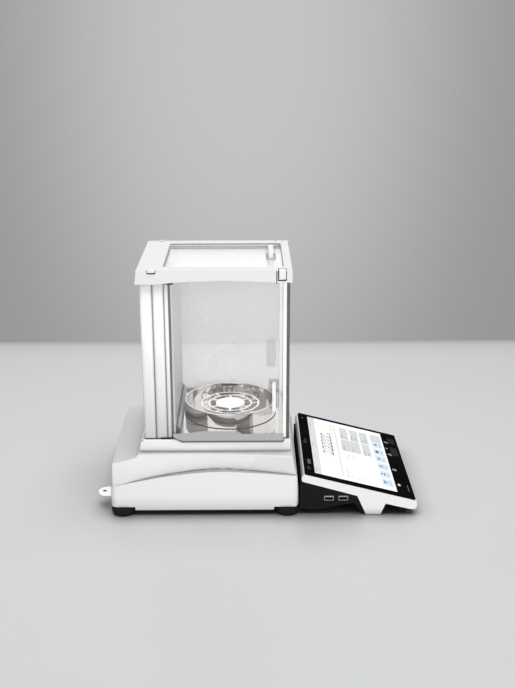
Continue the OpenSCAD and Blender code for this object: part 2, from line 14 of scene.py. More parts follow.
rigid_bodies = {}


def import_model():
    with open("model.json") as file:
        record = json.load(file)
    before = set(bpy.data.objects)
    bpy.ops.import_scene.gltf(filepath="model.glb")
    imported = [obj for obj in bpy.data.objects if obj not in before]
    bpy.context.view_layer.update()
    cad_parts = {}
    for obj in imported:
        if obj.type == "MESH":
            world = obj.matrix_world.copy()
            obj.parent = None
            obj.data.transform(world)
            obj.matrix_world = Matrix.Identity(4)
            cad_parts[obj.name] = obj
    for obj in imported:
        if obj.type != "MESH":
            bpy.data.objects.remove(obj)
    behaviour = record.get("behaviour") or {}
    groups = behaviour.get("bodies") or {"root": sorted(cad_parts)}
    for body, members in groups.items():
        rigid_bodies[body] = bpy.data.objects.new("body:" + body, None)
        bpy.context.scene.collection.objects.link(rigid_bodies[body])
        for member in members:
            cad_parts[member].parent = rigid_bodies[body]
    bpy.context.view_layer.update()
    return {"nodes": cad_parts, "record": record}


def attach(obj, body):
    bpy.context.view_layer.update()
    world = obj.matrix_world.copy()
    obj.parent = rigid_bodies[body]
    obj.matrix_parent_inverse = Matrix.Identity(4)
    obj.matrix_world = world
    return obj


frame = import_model()
parts = frame["nodes"]
scene = bpy.context.scene

MM = 0.001
Y_SHIFT = 0.07225  # m, from the measuring datum to the frame's own y
SIDES = ((-1, "left"), (1, "right"))

PAN_Y = -34.6  # centre of the weighing pan and the draught ring
# adhesive films under the side grips, mm
GRIP_FILM_Y = (-103.6, -89.6)
GRIP_FILM_Z = (152.3, 194.9)


def place(x, y, z):
    """Point measured in mm, in the frame's metres."""
    return Vector((x * MM, y * MM + Y_SHIFT, z * MM))


# ------------------------------------------------------------------ shader helpers
def opaque(colour, scale=1.0):
    """RGBA of a grey level or an RGB colour, scaled."""
    channels = (colour,) * 3 if isinstance(colour, (int, float)) else colour
    return tuple(channel * scale for channel in channels) + (1.0,)


class Shader:
    """Node tree of a material or world. An input is a value, or an output socket to link."""

    def __init__(self, owner):
        owner.use_nodes = True
        self.owner = owner
        self.tree = owner.node_tree
        self.tree.nodes.clear()

    def add(self, kind, inputs=None, **settings):
        made = self.tree.nodes.new("ShaderNode" + kind)
        for key, value in settings.items():
            setattr(made, key, value)
        for key, value in (inputs or {}).items():
            if isinstance(value, bpy.types.NodeSocket):
                self.tree.links.new(value, made.inputs[key])
            else:
                made.inputs[key].default_value = value
        return made

    def bsdf(self, kind, inputs):
        return self.add("Bsdf" + kind, inputs).outputs[0]

    def finish(self, surface):
        self.add("OutputMaterial", {"Surface": surface})
        return self.owner

    def coords(self, scale=(1, 1, 1)):
        source = self.add("TexCoord").outputs["Object"]
        return self.add("Mapping", {"Scale": scale, "Vector": source}).outputs[0]

    def noise(self, vector, scale, detail=2.0, roughness=0.5):
        inputs = {"Scale": scale, "Detail": detail, "Roughness": roughness, "Vector": vector}
        return self.add("TexNoise", inputs).outputs["Fac"]

    def remap(self, value, span, to, **settings):
        """Maps the two ends of span onto the two ends of to, clamped."""
        inputs = {"From Min": span[0], "From Max": span[1],
                  "To Min": to[0], "To Max": to[1], "Value": value}
        return self.add("MapRange", inputs, **settings).outputs["Result"]

    def soft(self, value):
        """Middle of a noise stretched to the full range 0 to 1."""
        return self.remap(value, span=(0.3, 0.7), to=(0, 1))

    def mix_color(self, factor, first, second):
        return self.add("Mix", {0: factor, 6: first, 7: second}, data_type="RGBA").outputs[2]

    def mix_shader(self, factor, first, second):
        return self.add("MixShader", {0: factor, 1: first, 2: second}).outputs[0]

    def math(self, operation, *values, **settings):
        inputs = dict(enumerate(values))
        return self.add("Math", inputs, operation=operation, **settings).outputs[0]

    def vector(self, operation, *values):
        return self.add("VectorMath", dict(enumerate(values)), operation=operation)

    def axes(self, vector):
        return self.add("SeparateXYZ", {0: vector}).outputs

    def bump(self, height, strength, distance):
        inputs = {"Strength": strength, "Distance": distance, "Height": height}
        return self.add("Bump", inputs).outputs["Normal"]

    def off_line(self, value, middle):
        """Distance of a coordinate from a middle value."""
        return self.math("ABSOLUTE", self.math("SUBTRACT", value, middle))

    def edge_mask(self, radius):
        """1 on convex edges, from the difference between the bevelled and the plain normal."""
        bevelled = self.add("Bevel", {"Radius": radius}, samples=4).outputs["Normal"]
        plain = self.add("NewGeometry").outputs["Normal"]
        agreement = self.vector("DOT_PRODUCT", bevelled, plain).outputs["Value"]
        return self.remap(agreement, span=(0.98, 0.75), to=(0.0, 1.0))

    def painted_crevice_shade(self, distance, closed, floor, power=1.0):
        """Painted shade: 1 in the open, down to floor where the openness falls to closed."""
        inputs = {"Distance": distance}
        openness = self.add("AmbientOcclusion", inputs, samples=6).outputs["AO"]
        shade = self.math("POWER", self.remap(openness, span=(closed, 1.0), to=(0.0, 1.0)), power)
        return self.remap(shade, span=(0.0, 1.0), to=(floor, 1.0))


def new_shader(name):
    return Shader(bpy.data.materials.new(name))


MATERIALS = {}


# ------------------------------------------------------------------ plastics and paint
def plastic(name, colour, rough, var, grain, bump, spec=0.5, coat=0.0, clouds=14.0,
            crease_shade=(), painted_glow=0.0):
    """Moulded or painted surface: cloudy colour, uneven gloss, fine grain in the bump, painted
    shade in its creases, and a painted glow where asked.
    """
    shader = new_shader(name)
    vector = shader.coords()
    cloud = shader.noise(vector, scale=clouds, detail=3, roughness=0.55)
    fine = shader.noise(vector, scale=grain, detail=4, roughness=0.6)
    base = shader.mix_color(shader.soft(cloud), opaque(colour, 1 - var), opaque(colour))
    specks = shader.remap(fine, span=(0.35, 0.75), to=(0, 0.35))
    base = shader.mix_color(specks, base, opaque(colour, 1 - var * 1.5))
    # each setting darkens the colour where the surface is enclosed: painted shade
    for crease in crease_shade:
        scaled = shader.vector("SCALE", base)
        shader.tree.links.new(shader.painted_crevice_shade(*crease), scaled.inputs["Scale"])
        base = scaled.outputs[0]
    return shader.finish(shader.bsdf("Principled", {
        "Base Color": base,
        "Roughness": shader.remap(fine, span=(0.2, 0.8), to=(rough - 0.06, rough + 0.06)),
        # emission stands in for light falling on the part: a painted glow
        "Specular IOR Level": spec,
        "Coat Weight": coat,
        "Coat Roughness": 0.12,
        "Emission Strength": painted_glow,
        "Normal": shader.bump(fine, strength=bump, distance=0.0004),
    }))


# painted shade in creases: reach in m, openness that counts as closed, lowest brightness, power
BODY_CREASE_SHADE = ((0.03, 0.25, 0.40, 1.0), (0.004, 0.35, 0.45, 1.2))
MOULDING_CREASE_SHADE = ((0.012, 0.25, 0.3, 1.0),)
PROFILE_CREASE_SHADE = ((0.0022, 0.35, 0.10, 1.3),)
OUTLET_CREASE_SHADE = ((0.003, 0.3, 0.10, 1.0),)
BODY = dict(crease_shade=BODY_CREASE_SHADE)
DULL = dict(spec=0.2)

# name, colour, roughness, colour variation, grain scale, bump strength, other settings
PLASTICS = (
    ("white_paint", 0.765, 0.42, 0.012, 1500, 0.05, dict(clouds=9, crease_shade=BODY_CREASE_SHADE)),
    ("white_plastic", 0.775, 0.38, 0.012, 2200, 0.03, dict(clouds=12, crease_shade=MOULDING_CREASE_SHADE)),
    ("white_profile", (0.86, 0.86, 0.865), 0.30, 0.02, 700, 0.02,
     dict(clouds=6, coat=0.15, crease_shade=PROFILE_CREASE_SHADE)),
    ("seal_white", 0.90, 0.45, 0.015, 1500, 0.03, {}),
    ("outlet_grey", (0.44, 0.44, 0.43), 0.45, 0.04, 1200, 0.05, dict(crease_shade=OUTLET_CREASE_SHADE)),
    # grey for the painted shade on the ledge between the base shells, dark for the painted shadow
    # line above it
    ("reveal_grey", 0.42, 0.6, 0.03, 1200, 0.04, DULL),
    ("reveal_dark", 0.20, 0.6, 0.03, 1200, 0.04, DULL),
    # dark grey for seals and for the painted shadow under the tray lip
    ("seal_grey", 0.13, 0.6, 0.06, 1500, 0.06, DULL),
    ("grey_panel", (0.60, 0.61, 0.62), 0.4, 0.03, 1200, 0.04, {}),
    ("grey_plastic", (0.10, 0.105, 0.11), 0.5, 0.08, 1200, 0.08, {}),
    ("circuit_board", (0.02, 0.13, 0.06), 0.35, 0.2, 500, 0.1, dict(coat=0.3)),
    # near-black for real gaps, and for painted shade inside holes
    ("dark_gap", (0.012, 0.012, 0.013), 0.7, 0.1, 900, 0.05, DULL),
    # white_top, white_shell and white_neck are the white paint made darker or lighter per part to
    # match how light falls on it: painted shade and painted light
    ("white_top", 0.735, 0.42, 0.02, 1400, 0.03, BODY),
    ("white_shell", 0.690, 0.42, 0.02, 1400, 0.03, BODY),
    ("white_neck", 0.86, 0.42, 0.02, 1400, 0.03, BODY),
    # the lug's white is lighter than the other whites and glows: painted light
    ("white_lug", 0.96, 0.35, 0.02, 1400, 0.03, dict(painted_glow=0.20)),
    # grey for the painted shade line along the top frame's edge
    ("bead_grey", 0.50, 0.5, 0.02, 1400, 0.03, {}),
    # paler white for the painted light on the opening's inner wall
    ("lining", 0.86, 0.5, 0.02, 1400, 0.03, {}),
)
for name, colour, rough, var, grain, bump, extra in PLASTICS:
    MATERIALS[name] = plastic(name, colour, rough, var, grain, bump, **extra)


def dark_plastic(name, colour, shine, rough, var=0.12, grain=1100.0, bump=0.10, edge=0.10):
    """Matt black moulding: low sheen that doesn't whiten at a flat angle, greyer edges."""
    shader = new_shader(name)
    vector = shader.coords()
    fine = shader.noise(vector, scale=grain, detail=4, roughness=0.6)
    cloud = shader.noise(vector, scale=14, detail=3, roughness=0.5)
    base = shader.mix_color(shader.soft(cloud), opaque(colour, 1 - var), opaque(colour))
    specks = shader.remap(fine, span=(0.35, 0.75), to=(0, 0.4))
    base = shader.mix_color(specks, base, opaque(colour, 1 + var * 2))
    # greyer convex edges
    grey_edges = shader.math("MULTIPLY", shader.edge_mask(radius=0.0009), edge)
    base = shader.mix_color(grey_edges, base, opaque((0.10, 0.10, 0.105)))
    normal = shader.bump(fine, strength=bump, distance=0.0004)
    matt = shader.bsdf("Diffuse", {"Roughness": 0.6, "Color": base, "Normal": normal})
    gloss_rough = shader.remap(fine, span=(0.2, 0.8), to=(rough - 0.06, rough + 0.06))
    sheen = shader.bsdf("Glossy", {"Roughness": gloss_rough, "Normal": normal})
    facing = shader.add("LayerWeight", {"Blend": 0.3}).outputs["Facing"]
    amount = shader.remap(facing, span=(0.0, 1.0), to=(shine * 0.6, shine * 1.6))
    return shader.finish(shader.mix_shader(amount, matt, sheen))


MATERIALS["black_plastic"] = dark_plastic(
    "black_plastic", (0.010, 0.010, 0.011), shine=0.018, rough=0.40)
MATERIALS["charcoal_plastic"] = dark_plastic(
    "charcoal_plastic", (0.0105, 0.0105, 0.011), shine=0.012, rough=0.5, grain=1300.0, bump=0.12)
MATERIALS["rubber_feet"] = dark_plastic(
    "rubber_feet", 0.008, shine=0.010, rough=0.6, var=0.15, grain=800.0, bump=0.15, edge=0.04)


# ------------------------------------------------------------------ metals
def metal_surface(shader, colour, rough, brush, grain, bump, dark=0.85, smudge=0.05):
    """Metal with directional grain, faint smudges in the gloss and slightly uneven colour."""
    brushed, plain = shader.coords(brush), shader.coords()
    streaks = shader.noise(brushed, scale=grain, detail=5, roughness=0.65)
    cloud = shader.noise(plain, scale=22, detail=3, roughness=0.5)
    streak_rough = shader.remap(streaks, span=(0.25, 0.75), to=(rough * 0.75, rough * 1.25))
    smudges = shader.remap(cloud, span=(0.45, 0.75), to=(0, smudge))
    return shader.bsdf("Principled", {
        "Metallic": 1.0,
        "Base Color": shader.mix_color(shader.soft(streaks), opaque(colour, dark),
                                       opaque(colour)),
        "Roughness": shader.math("ADD", streak_rough, smudges),
        "Normal": shader.bump(streaks, strength=bump, distance=0.0002),
    })


def metal(name, *args, **settings):
    shader = new_shader(name)
    return shader.finish(metal_surface(shader, *args, **settings))


EVEN = (1, 1, 1)
POLISH = dict(dark=0.97, smudge=0.03)
# name, colour, roughness, grain stretch, grain scale, bump strength, other settings
METALS = (
    ("polished_steel", (0.80, 0.775, 0.75), 0.045, EVEN, 60, 0.004, POLISH),
    ("satin_steel", (0.62, 0.62, 0.61), 0.28, (0.05, 1, 1), 900, 0.03, {}),
    ("zinc_steel", (0.66, 0.66, 0.67), 0.24, (1, 1, 0.1), 700, 0.03, {}),
    ("dark_steel", (0.16, 0.16, 0.17), 0.4, (1, 1, 0.2), 600, 0.05, {}),
    ("machined_aluminium", (0.74, 0.75, 0.77), 0.3, (0.1, 1, 1), 900, 0.04, {}),
    ("cast_plate", (0.55, 0.56, 0.57), 0.5, EVEN, 500, 0.25, {}),
    ("brass_parts", (0.72, 0.53, 0.24), 0.25, (0.1, 1, 1), 700, 0.03, {}),
    ("copper_coil", (0.75, 0.36, 0.18), 0.3, (0.1, 0.1, 6), 500, 0.3, {}),
)
for name, colour, rough, brush, grain, bump, extra in METALS:
    MATERIALS[name] = metal(name, colour, rough, brush, grain, bump, **extra)


def floor_steel(name):
    """Polished tray; its outer edges are matt grey with painted shade, darker low down."""
    shader = new_shader(name)
    brush = (1, 0.05, 1)
    polished = metal_surface(shader, (0.83, 0.81, 0.79), rough=0.05, brush=brush, grain=900,
                             bump=0.006, **POLISH)
    axes = shader.axes(shader.coords())
    streaks = shader.noise(shader.coords(brush), scale=700, detail=3)
    grey = shader.mix_color(streaks, opaque(0.40), opaque(0.44))
    # painted shade: the outer edges darken towards their lower edge
    height = shader.remap(axes["Z"], span=(0.1043, 0.1062), to=(0.0, 1.0))
    matt = shader.bsdf("Principled", {
        "Roughness": 0.35,
        "Metallic": 0.2,
        "Base Color": shader.mix_color(height, opaque(0.22), grey),
    })
    across = shader.math("ABSOLUTE", axes["X"])
    outer = shader.remap(across, span=(0.0896, 0.0902), to=(0.0, 0.9))
    return shader.finish(shader.mix_shader(outer, polished, matt))


def pan_steel(name):
    """Polished rings; what looks up gets a painted highlight: matt near-white with a painted glow,
    most of all on the middle plate.
    """
    shader = new_shader(name)
    polished = metal_surface(shader, (0.86, 0.84, 0.82), rough=0.06, brush=EVEN, grain=300,
                             bump=0.003, **POLISH)
    vector = shader.coords()
    centred = shader.vector("SUBTRACT", vector, place(0, PAN_Y, 0)).outputs[0]
    flat = shader.vector("MULTIPLY", centred, (1, 1, 0)).outputs[0]
    radius = shader.vector("LENGTH", flat).outputs["Value"]
    grain = shader.noise(vector, scale=700, detail=3)
    # painted highlight: near-white matt colour and a glow on what looks up
    white = shader.bsdf("Diffuse", {"Color": shader.mix_color(grain, opaque(0.93), opaque(0.97))})
    painted_glow = shader.add("Emission", {"Strength": 0.35}).outputs[0]
    matt = shader.add("AddShader", {0: white, 1: painted_glow}).outputs[0]
    middle = shader.remap(radius, span=(0.0208, 0.0214), to=(0.92, 0.62))
    top = shader.mix_shader(middle, polished, matt)
    normal = shader.axes(shader.add("NewGeometry").outputs["True Normal"])
    upward = shader.remap(normal["Z"], span=(0.5, 0.9), to=(0.0, 1.0))
    return shader.finish(shader.mix_shader(upward, polished, top))


def socket_steel(name, rim_x):
    """Plated socket shell: bright folded rim, black from just behind rim_x."""
    shader = new_shader(name)
    vector = shader.coords()
    grain = shader.noise(vector, scale=900, detail=3)
    rim = shader.bsdf("Principled", {
        "Metallic": 0.7,
        "Roughness": 0.3,
        "Base Color": shader.mix_color(grain, opaque((0.42, 0.42, 0.43)),
                                       opaque((0.60, 0.60, 0.61))),
    })
    dark = shader.bsdf("Diffuse", {"Color": shader.mix_color(
        grain, opaque((0.010, 0.010, 0.011)), opaque((0.02, 0.02, 0.021)))})
    depth = shader.remap(shader.axes(vector)["X"], span=(rim_x + 0.0001, rim_x + 0.0002),
                         to=(0.0, 1.0))
    return shader.finish(shader.mix_shader(depth, rim, dark))


# this material's name really ends in .001
MATERIALS["floor_steel"] = floor_steel("floor_steel.001")
MATERIALS["pan_steel"] = pan_steel("pan_steel")
MATERIALS["socket_steel"] = socket_steel("socket_steel", rim_x=-0.10955)


# ------------------------------------------------------------------ glass and acrylic
def pane(name, axis, veil, gloss=1.0, blur=0.008):
    """Thin clear glass across an axis: Fresnel reflections, a pale veil that is dust when thin and
    painted light when thick, dark cut edges.
    """
    shader = new_shader(name)
    smear = shader.noise(shader.coords(), scale=9, detail=4, roughness=0.6)
    clear = shader.bsdf("Transparent", {"Color": opaque((0.994, 0.992, 0.990))})
    reflection = shader.bsdf("Glossy", {
        "Color": opaque(1),
        "Roughness": shader.remap(smear, span=(0.4, 0.8), to=(blur, blur + 0.042)),
    })
    # the pane doesn't bend light, so its far face must reflect like the near one
    backfacing = shader.add("NewGeometry").outputs["Backfacing"]
    ior = shader.remap(backfacing, span=(0.0, 1.0), to=(1.5, 1 / 1.5))
    fresnel = shader.add("Fresnel", {"IOR": ior}).outputs["Fac"]
    amount = shader.math("MULTIPLY", fresnel, gloss, use_clamp=True)
    glass = shader.mix_shader(amount, clear, reflection)
    # a thin veil is dust; a thick one lightens what is seen through the pane: painted light
    pale_veil = shader.bsdf("Diffuse", {"Color": opaque((0.96, 0.955, 0.953))})
    veil_amount = shader.remap(smear, span=(0.2, 0.8), to=(veil * 0.93, veil * 1.07))
    faces = shader.mix_shader(veil_amount, glass, pale_veil)
    # cut edges: any face that doesn't look along the pane's own axis
    normal = shader.axes(shader.add("NewGeometry").outputs["True Normal"])
    off_axis = shader.remap(shader.math("ABSOLUTE", normal[axis]), span=(0.9, 0.6), to=(0.0, 1.0))
    cut = shader.bsdf("Principled", {
        "Roughness": 0.18,
        "Base Color": opaque((0.10, 0.102, 0.092)),
        "Coat Weight": 0.6,
    })
    cut_clear = shader.bsdf("Transparent", {"Color": opaque((0.42, 0.43, 0.41))})
    edges = shader.mix_shader(0.25, cut, cut_clear)
    seen = shader.mix_shader(off_axis, faces, edges)
    # light passes almost freely, so the chamber isn't in the dark
    path = shader.add("LightPath").outputs
    free = shader.bsdf("Transparent", {"Color": opaque((0.968, 0.967, 0.966))})
    unseen = shader.math("MAXIMUM", path["Is Shadow Ray"], path["Is Diffuse Ray"])
    return shader.finish(shader.mix_shader(unseen, seen, free))


MATERIALS["side_glass"] = pane("side_glass", "X", veil=0.03, gloss=0.45)
# the far pane's thick pale veil lightens the chamber behind it: painted light
MATERIALS["side_glass_far"] = pane("side_glass_far", "X", veil=0.26, gloss=0.35)
MATERIALS["front_glass"] = pane("front_glass", "Y", veil=0.03)
MATERIALS["top_glass"] = pane("top_glass", "Z", veil=0.06, gloss=2.2, blur=0.16)


def clear_acrylic(name):
    """Clear moulded grip: faint body, greyer where it turns away as painted shade, and a polished
    rib with a painted highlight.
    """
    shader = new_shader(name)
    vector = shader.coords()
    facing = shader.add("LayerWeight", {"Blend": 0.42}).outputs["Facing"]
    turned_away_shade = shader.remap(facing, span=(0.35, 0.95), to=(0.0, 1.0))
    cloud = shader.noise(vector, scale=60, detail=3)
    body = shader.mix_color(shader.remap(cloud, span=(0.3, 0.8), to=(0, 1)),
                            opaque((0.93, 0.935, 0.94)), opaque((0.90, 0.905, 0.91)))
    # painted shade: greyer where the surface turns away from the eye
    tint = shader.mix_color(turned_away_shade, body, opaque((0.74, 0.743, 0.746)))
    clear = shader.bsdf("Transparent", {"Color": tint})
    gloss = shader.bsdf("Glossy", {
        "Roughness": shader.remap(cloud, span=(0.3, 0.8), to=(0.03, 0.10))})
    grip = shader.mix_shader(0.06, clear, gloss)

    # the rib's outer face, which gets a painted highlight: a narrow crest on the side grips, all
    # of the rib on the top grip
    axes = shader.axes(vector)

    def rib(beyond, middle_y, half):
        away = shader.off_line(axes["Y"], middle_y * MM + Y_SHIFT)
        near = shader.remap(away, span=(half, half + 0.0003), to=(1.0, 0.0))
        return shader.math("MULTIPLY", beyond, near)

    across = shader.math("ABSOLUTE", axes["X"])
    outward = shader.remap(across, span=(0.1000, 0.1004), to=(0.0, 1.0))
    upward = shader.remap(axes["Z"], span=(0.3489, 0.3494), to=(0.0, 1.0))
    ribs = shader.math("MAXIMUM", rib(outward, middle_y=-96.6, half=0.0023),
                       rib(upward, middle_y=-93.9, half=0.0034))
    backfacing = shader.add("NewGeometry").outputs["Backfacing"]
    outer_ribs = shader.math("MULTIPLY", ribs, shader.math("SUBTRACT", 1.0, backfacing))
    # painted highlight on the rib's outer face: matt near-white
    bright = shader.bsdf("Diffuse", {"Color": opaque((0.93, 0.935, 0.94))})
    seen = shader.mix_shader(shader.math("MULTIPLY", outer_ribs, 0.8), grip, bright)
    shadow = shader.add("LightPath").outputs["Is Shadow Ray"]
    free = shader.bsdf("Transparent", {"Color": opaque((0.9, 0.905, 0.91))})
    return shader.finish(shader.mix_shader(shadow, seen, free))


def black_glass(name):
    """Cover glass over a black print: faint clean reflection and slight smears."""
    shader = new_shader(name)
    smear = shader.noise(shader.coords(), scale=14, detail=4, roughness=0.6)
    black = shader.bsdf("Diffuse", {"Color": shader.mix_color(
        smear, opaque((0.0016, 0.0016, 0.0018)), opaque((0.0036, 0.0036, 0.004)))})
    gloss = shader.bsdf("Glossy", {
        "Roughness": shader.remap(smear, span=(0.35, 0.8), to=(0.02, 0.09))})
    amount = shader.remap(smear, span=(0.2, 0.8), to=(0.0015, 0.0045))
    return shader.finish(shader.mix_shader(amount, black, gloss))


def grip_film(name, middle, rim):
    """Clear adhesive film with a darker squeezed-out rim; middle and rim are grey tints."""
    shader = new_shader(name)
    vector = shader.coords()
    axes = shader.axes(vector)
    masks = []
    for axis, (low, high), shift in (("Y", GRIP_FILM_Y, Y_SHIFT), ("Z", GRIP_FILM_Z, 0.0)):
        half = (high - low) / 2 * MM
        away = shader.off_line(axes[axis], (low + high) / 2 * MM + shift)
        masks.append(shader.remap(away, span=(half - 0.0012, half - 0.0006), to=(0.0, 1.0)))
    border = shader.math("MAXIMUM", *masks)
    cloud = shader.noise(vector, scale=90, detail=3)
    inner = shader.mix_color(cloud, opaque(middle), opaque(middle, 0.97))
    tint = shader.mix_color(border, inner, opaque(rim))
    return shader.finish(shader.bsdf("Transparent", {"Color": tint}))


MATERIALS["clear_acrylic"] = clear_acrylic("clear_acrylic")
MATERIALS["black_glass"] = black_glass("black_glass")
MATERIALS["grip_film_left"] = grip_film("grip_film_left", middle=0.93, rim=0.80)
# the far film's tints are darker than the near film's: painted shade
MATERIALS["grip_film_right"] = grip_film("grip_film_right", middle=0.84, rim=0.55)


# ------------------------------------------------------------------ lit display layers
def screen(name, colour, emit, shine):
    """Display layer under glass: fine line pattern, uneven colour, faint reflection."""
    shader = new_shader(name)
    vector = shader.coords()
    wave = shader.add("TexWave", {"Scale": 900.0, "Vector": vector}).outputs["Fac"]
    cloud = shader.noise(vector, scale=12, detail=2)
    lines = shader.remap(wave, span=(0, 1), to=(0, 0.06))
    shown = shader.mix_color(lines, opaque(colour), opaque(colour, 0.9))
    uneven = shader.remap(cloud, span=(0.3, 0.7), to=(0, 0.03))
    shown = shader.mix_color(uneven, shown, opaque(colour, 0.92))
    matt = shader.bsdf("Diffuse", {"Color": shown})
    light = shader.add("Emission", {"Color": shown, "Strength": emit}).outputs[0]
    lit = shader.add("AddShader", {0: matt, 1: light}).outputs[0]
    gloss = shader.bsdf("Glossy", {"Roughness": 0.06})
    return shader.finish(shader.mix_shader(shine, lit, gloss))


# name, colour, emission strength, share of reflection
SCREENS = (
    ("scr_white", (0.80, 0.81, 0.82), 0.34, 0.012),
    ("scr_head", (0.62, 0.63, 0.64), 0.22, 0.012),
    ("scr_tile", (0.58, 0.59, 0.60), 0.22, 0.012),
    ("scr_blue", (0.58, 0.66, 0.74), 0.25, 0.012),
    ("scr_line", (0.50, 0.51, 0.52), 0.2, 0.012),
    ("scr_ink", (0.045, 0.046, 0.05), 0.0, 0.012),
    ("scr_grey", (0.085, 0.087, 0.09), 0.0, 0.012),
    ("scr_navy", (0.03, 0.10, 0.24), 0.1, 0.012),
    ("scr_green", (0.60, 0.84, 0.50), 0.25, 0.012),
    ("icon_white", (0.62, 0.63, 0.65), 0.15, 0.012),
    ("icon_dim", (0.16, 0.165, 0.175), 0.02, 0.006),
    ("ir_window", (0.022, 0.0225, 0.024), 0.0, 0.006),
)
for name, colour, emit, shine in SCREENS:
    MATERIALS[name] = screen(name, colour, emit, shine)


# ------------------------------------------------------------------ CAD pieces
# pieces whose material differs from their CAD slot
OWN_MATERIAL = {
    "left_door_glass": "side_glass", "right_door_glass": "side_glass_far",
    "front_glass": "front_glass", "top_door_glass": "top_glass",
    "floor_tray": "floor_steel", "display_panel": "scr_white",
    "usb_sockets": "socket_steel", "front_seal_strips": "seal_white",
    "air_outlet_strip": "outlet_grey", "top_frame": "white_top",
    "base_upper_shell": "white_shell", "shield_base": "white_neck",
    "security_lug": "white_lug", "weighing_pan": "pan_steel",
}
PANES = ("front_glass", "left_door_glass", "right_door_glass", "top_door_glass")

# edge rounding in m, and the pieces that have it; the rest have the default
DEFAULT_BEVEL = 0.0004
BEVELS = {
    0.0022: ("base_lower_shell",),
    0.0016: ("base_upper_shell",),
    0.0014: ("shield_base",),
    0.0012: ("top_frame", "terminal_housing", "terminal_back_cover"),
    0.0008: ("tower_rear_cover",),
    0.0006: ("security_lug",),
    0.0005: ("terminal_glass", "left_door_handle", "right_door_handle", "top_door_handle",
             "latch_left", "latch_right", "catch_left", "catch_right"),
    0.0003: ("floor_tray", "weighing_pan", "air_outlet_strip",
             "foot_wheel_fl", "foot_wheel_fr", "foot_wheel_rl", "foot_wheel_rr"),
    0.0002: ("draught_ring", "rear_sockets"),
    0.0001: ("usb_sockets",),
    0.0: ("tower_profile_left", "tower_profile_right", "display_panel"),
}
bevel_of = {name: width for width, names in BEVELS.items() for name in names}
slot_of = {part["node"]: part["material_slot"] for part in frame["record"]["subparts"]}


def finish_part(name):
    """Gives a CAD piece its material and rounds its edges."""
    part = parts[name]
    mesh = part.data
    mesh.materials.clear()
    mesh.materials.append(MATERIALS[OWN_MATERIAL.get(name, slot_of[name])])
    if "custom_normal" in mesh.attributes:
        mesh.attributes.remove(mesh.attributes["custom_normal"])
    smooth = name not in PANES
    mesh.polygons.foreach_set("use_smooth", [smooth] * len(mesh.polygons))
    weld = part.modifiers.new("weld", "WELD")
    weld.merge_threshold = 2e-6
    flats = part.modifiers.new("merge_flats", "DECIMATE")
    flats.decimate_type = "DISSOLVE"
    flats.angle_limit = math.radians(0.4)
    width = bevel_of.get(name, DEFAULT_BEVEL)
    if width > 0:
        bevel = part.modifiers.new("round_edges", "BEVEL")
        bevel.width = width
        bevel.segments = 3
        bevel.limit_method = "ANGLE"
        bevel.angle_limit = math.radians(28)
        bevel.harden_normals = smooth
        bevel.use_clamp_overlap = True
        bevel.miter_outer = "MITER_ARC"


for name in parts:
    finish_part(name)


# ------------------------------------------------------------------ mesh helpers
def add_object(name, mesh, material, body):
    mesh.materials.append(MATERIALS[material])
    made = bpy.data.objects.new(name, mesh)
    scene.collection.objects.link(made)
    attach(made, body)


def add_piece(name, verts, faces, material, body="housing", recalc=True):
    """Object from vertices and faces; recalc turns the faces outwards."""
    mesh = bpy.data.meshes.new(name)
    mesh.from_pydata([tuple(vert) for vert in verts], [], faces)
    mesh.update()
    add_object(name, mesh, material, body)
    if recalc:
        work = bmesh.new()
        work.from_mesh(mesh)
        bmesh.ops.recalc_face_normals(work, faces=work.faces)
        work.to_mesh(mesh)
        work.free()


# faces of eight corners listed with the third direction fastest and the first slowest
BOX_FACES = ((0, 1, 3, 2), (4, 6, 7, 5), (0, 4, 5, 1), (2, 3, 7, 6), (0, 2, 6, 4), (1, 5, 7, 3))


def box(name, side, x, y, z, material):
    """Box on one side of the balance; x is its span away from the middle."""
    x = sorted((side * x[0], side * x[1]))
    verts = [place(px, py, pz) for px in x for py in y for pz in z]
    add_piece(name, verts, BOX_FACES, material, recalc=False)


def disc(name, centre, radius, axis, material, depth):
    """Short cylinder along x or z."""
    turn = Matrix.Rotation(math.pi / 2, 4, "Y") if axis == "x" else Matrix.Identity(4)
    work = bmesh.new()
    bmesh.ops.create_cone(work, cap_ends=True, segments=24, radius1=radius * MM,
                          radius2=radius * MM, depth=depth * MM)
    work.transform(Matrix.Translation(place(*centre)) @ turn)
    mesh = bpy.data.meshes.new(name)
    work.to_mesh(mesh)
    work.free()
    add_object(name, mesh, material, "housing")


def rounded_rect(width, length, radius, steps=6):
    """Outline around the origin."""
    far_x, far_y = width / 2 - radius, length / 2 - radius
    corners = ((far_x, far_y, 0), (-far_x, far_y, 90), (-far_x, -far_y, 180), (far_x, -far_y, 270))
    outline = []
    for x, y, start in corners:
        for i in range(steps + 1):
            angle = math.radians(start + 90 * i / steps)
            outline.append((x + radius * math.cos(angle), y + radius * math.sin(angle)))
    return outline


def circle(radius, steps=96):
    angles = [2 * math.pi * i / steps for i in range(steps)]
    return [(radius * math.cos(angle), radius * math.sin(angle)) for angle in angles]


def loop_strip(name, centre_y, outer, inner, z, material, body="housing"):
    """Level closed strip between two outlines."""
    n = len(outer)
    verts = [place(px, centre_y + py, pz) for pz in z for ring in (outer, inner)
             for px, py in ring]
    faces = []
    for i in range(n):
        j = (i + 1) % n
        faces += [(i, j, 2 * n + j, 2 * n + i), (n + j, n + i, 3 * n + i, 3 * n + j),
                  (2 * n + i, 2 * n + j, 3 * n + j, 3 * n + i), (j, i, n + i, n + j)]
    add_piece(name, verts, faces, material, body, recalc=False)


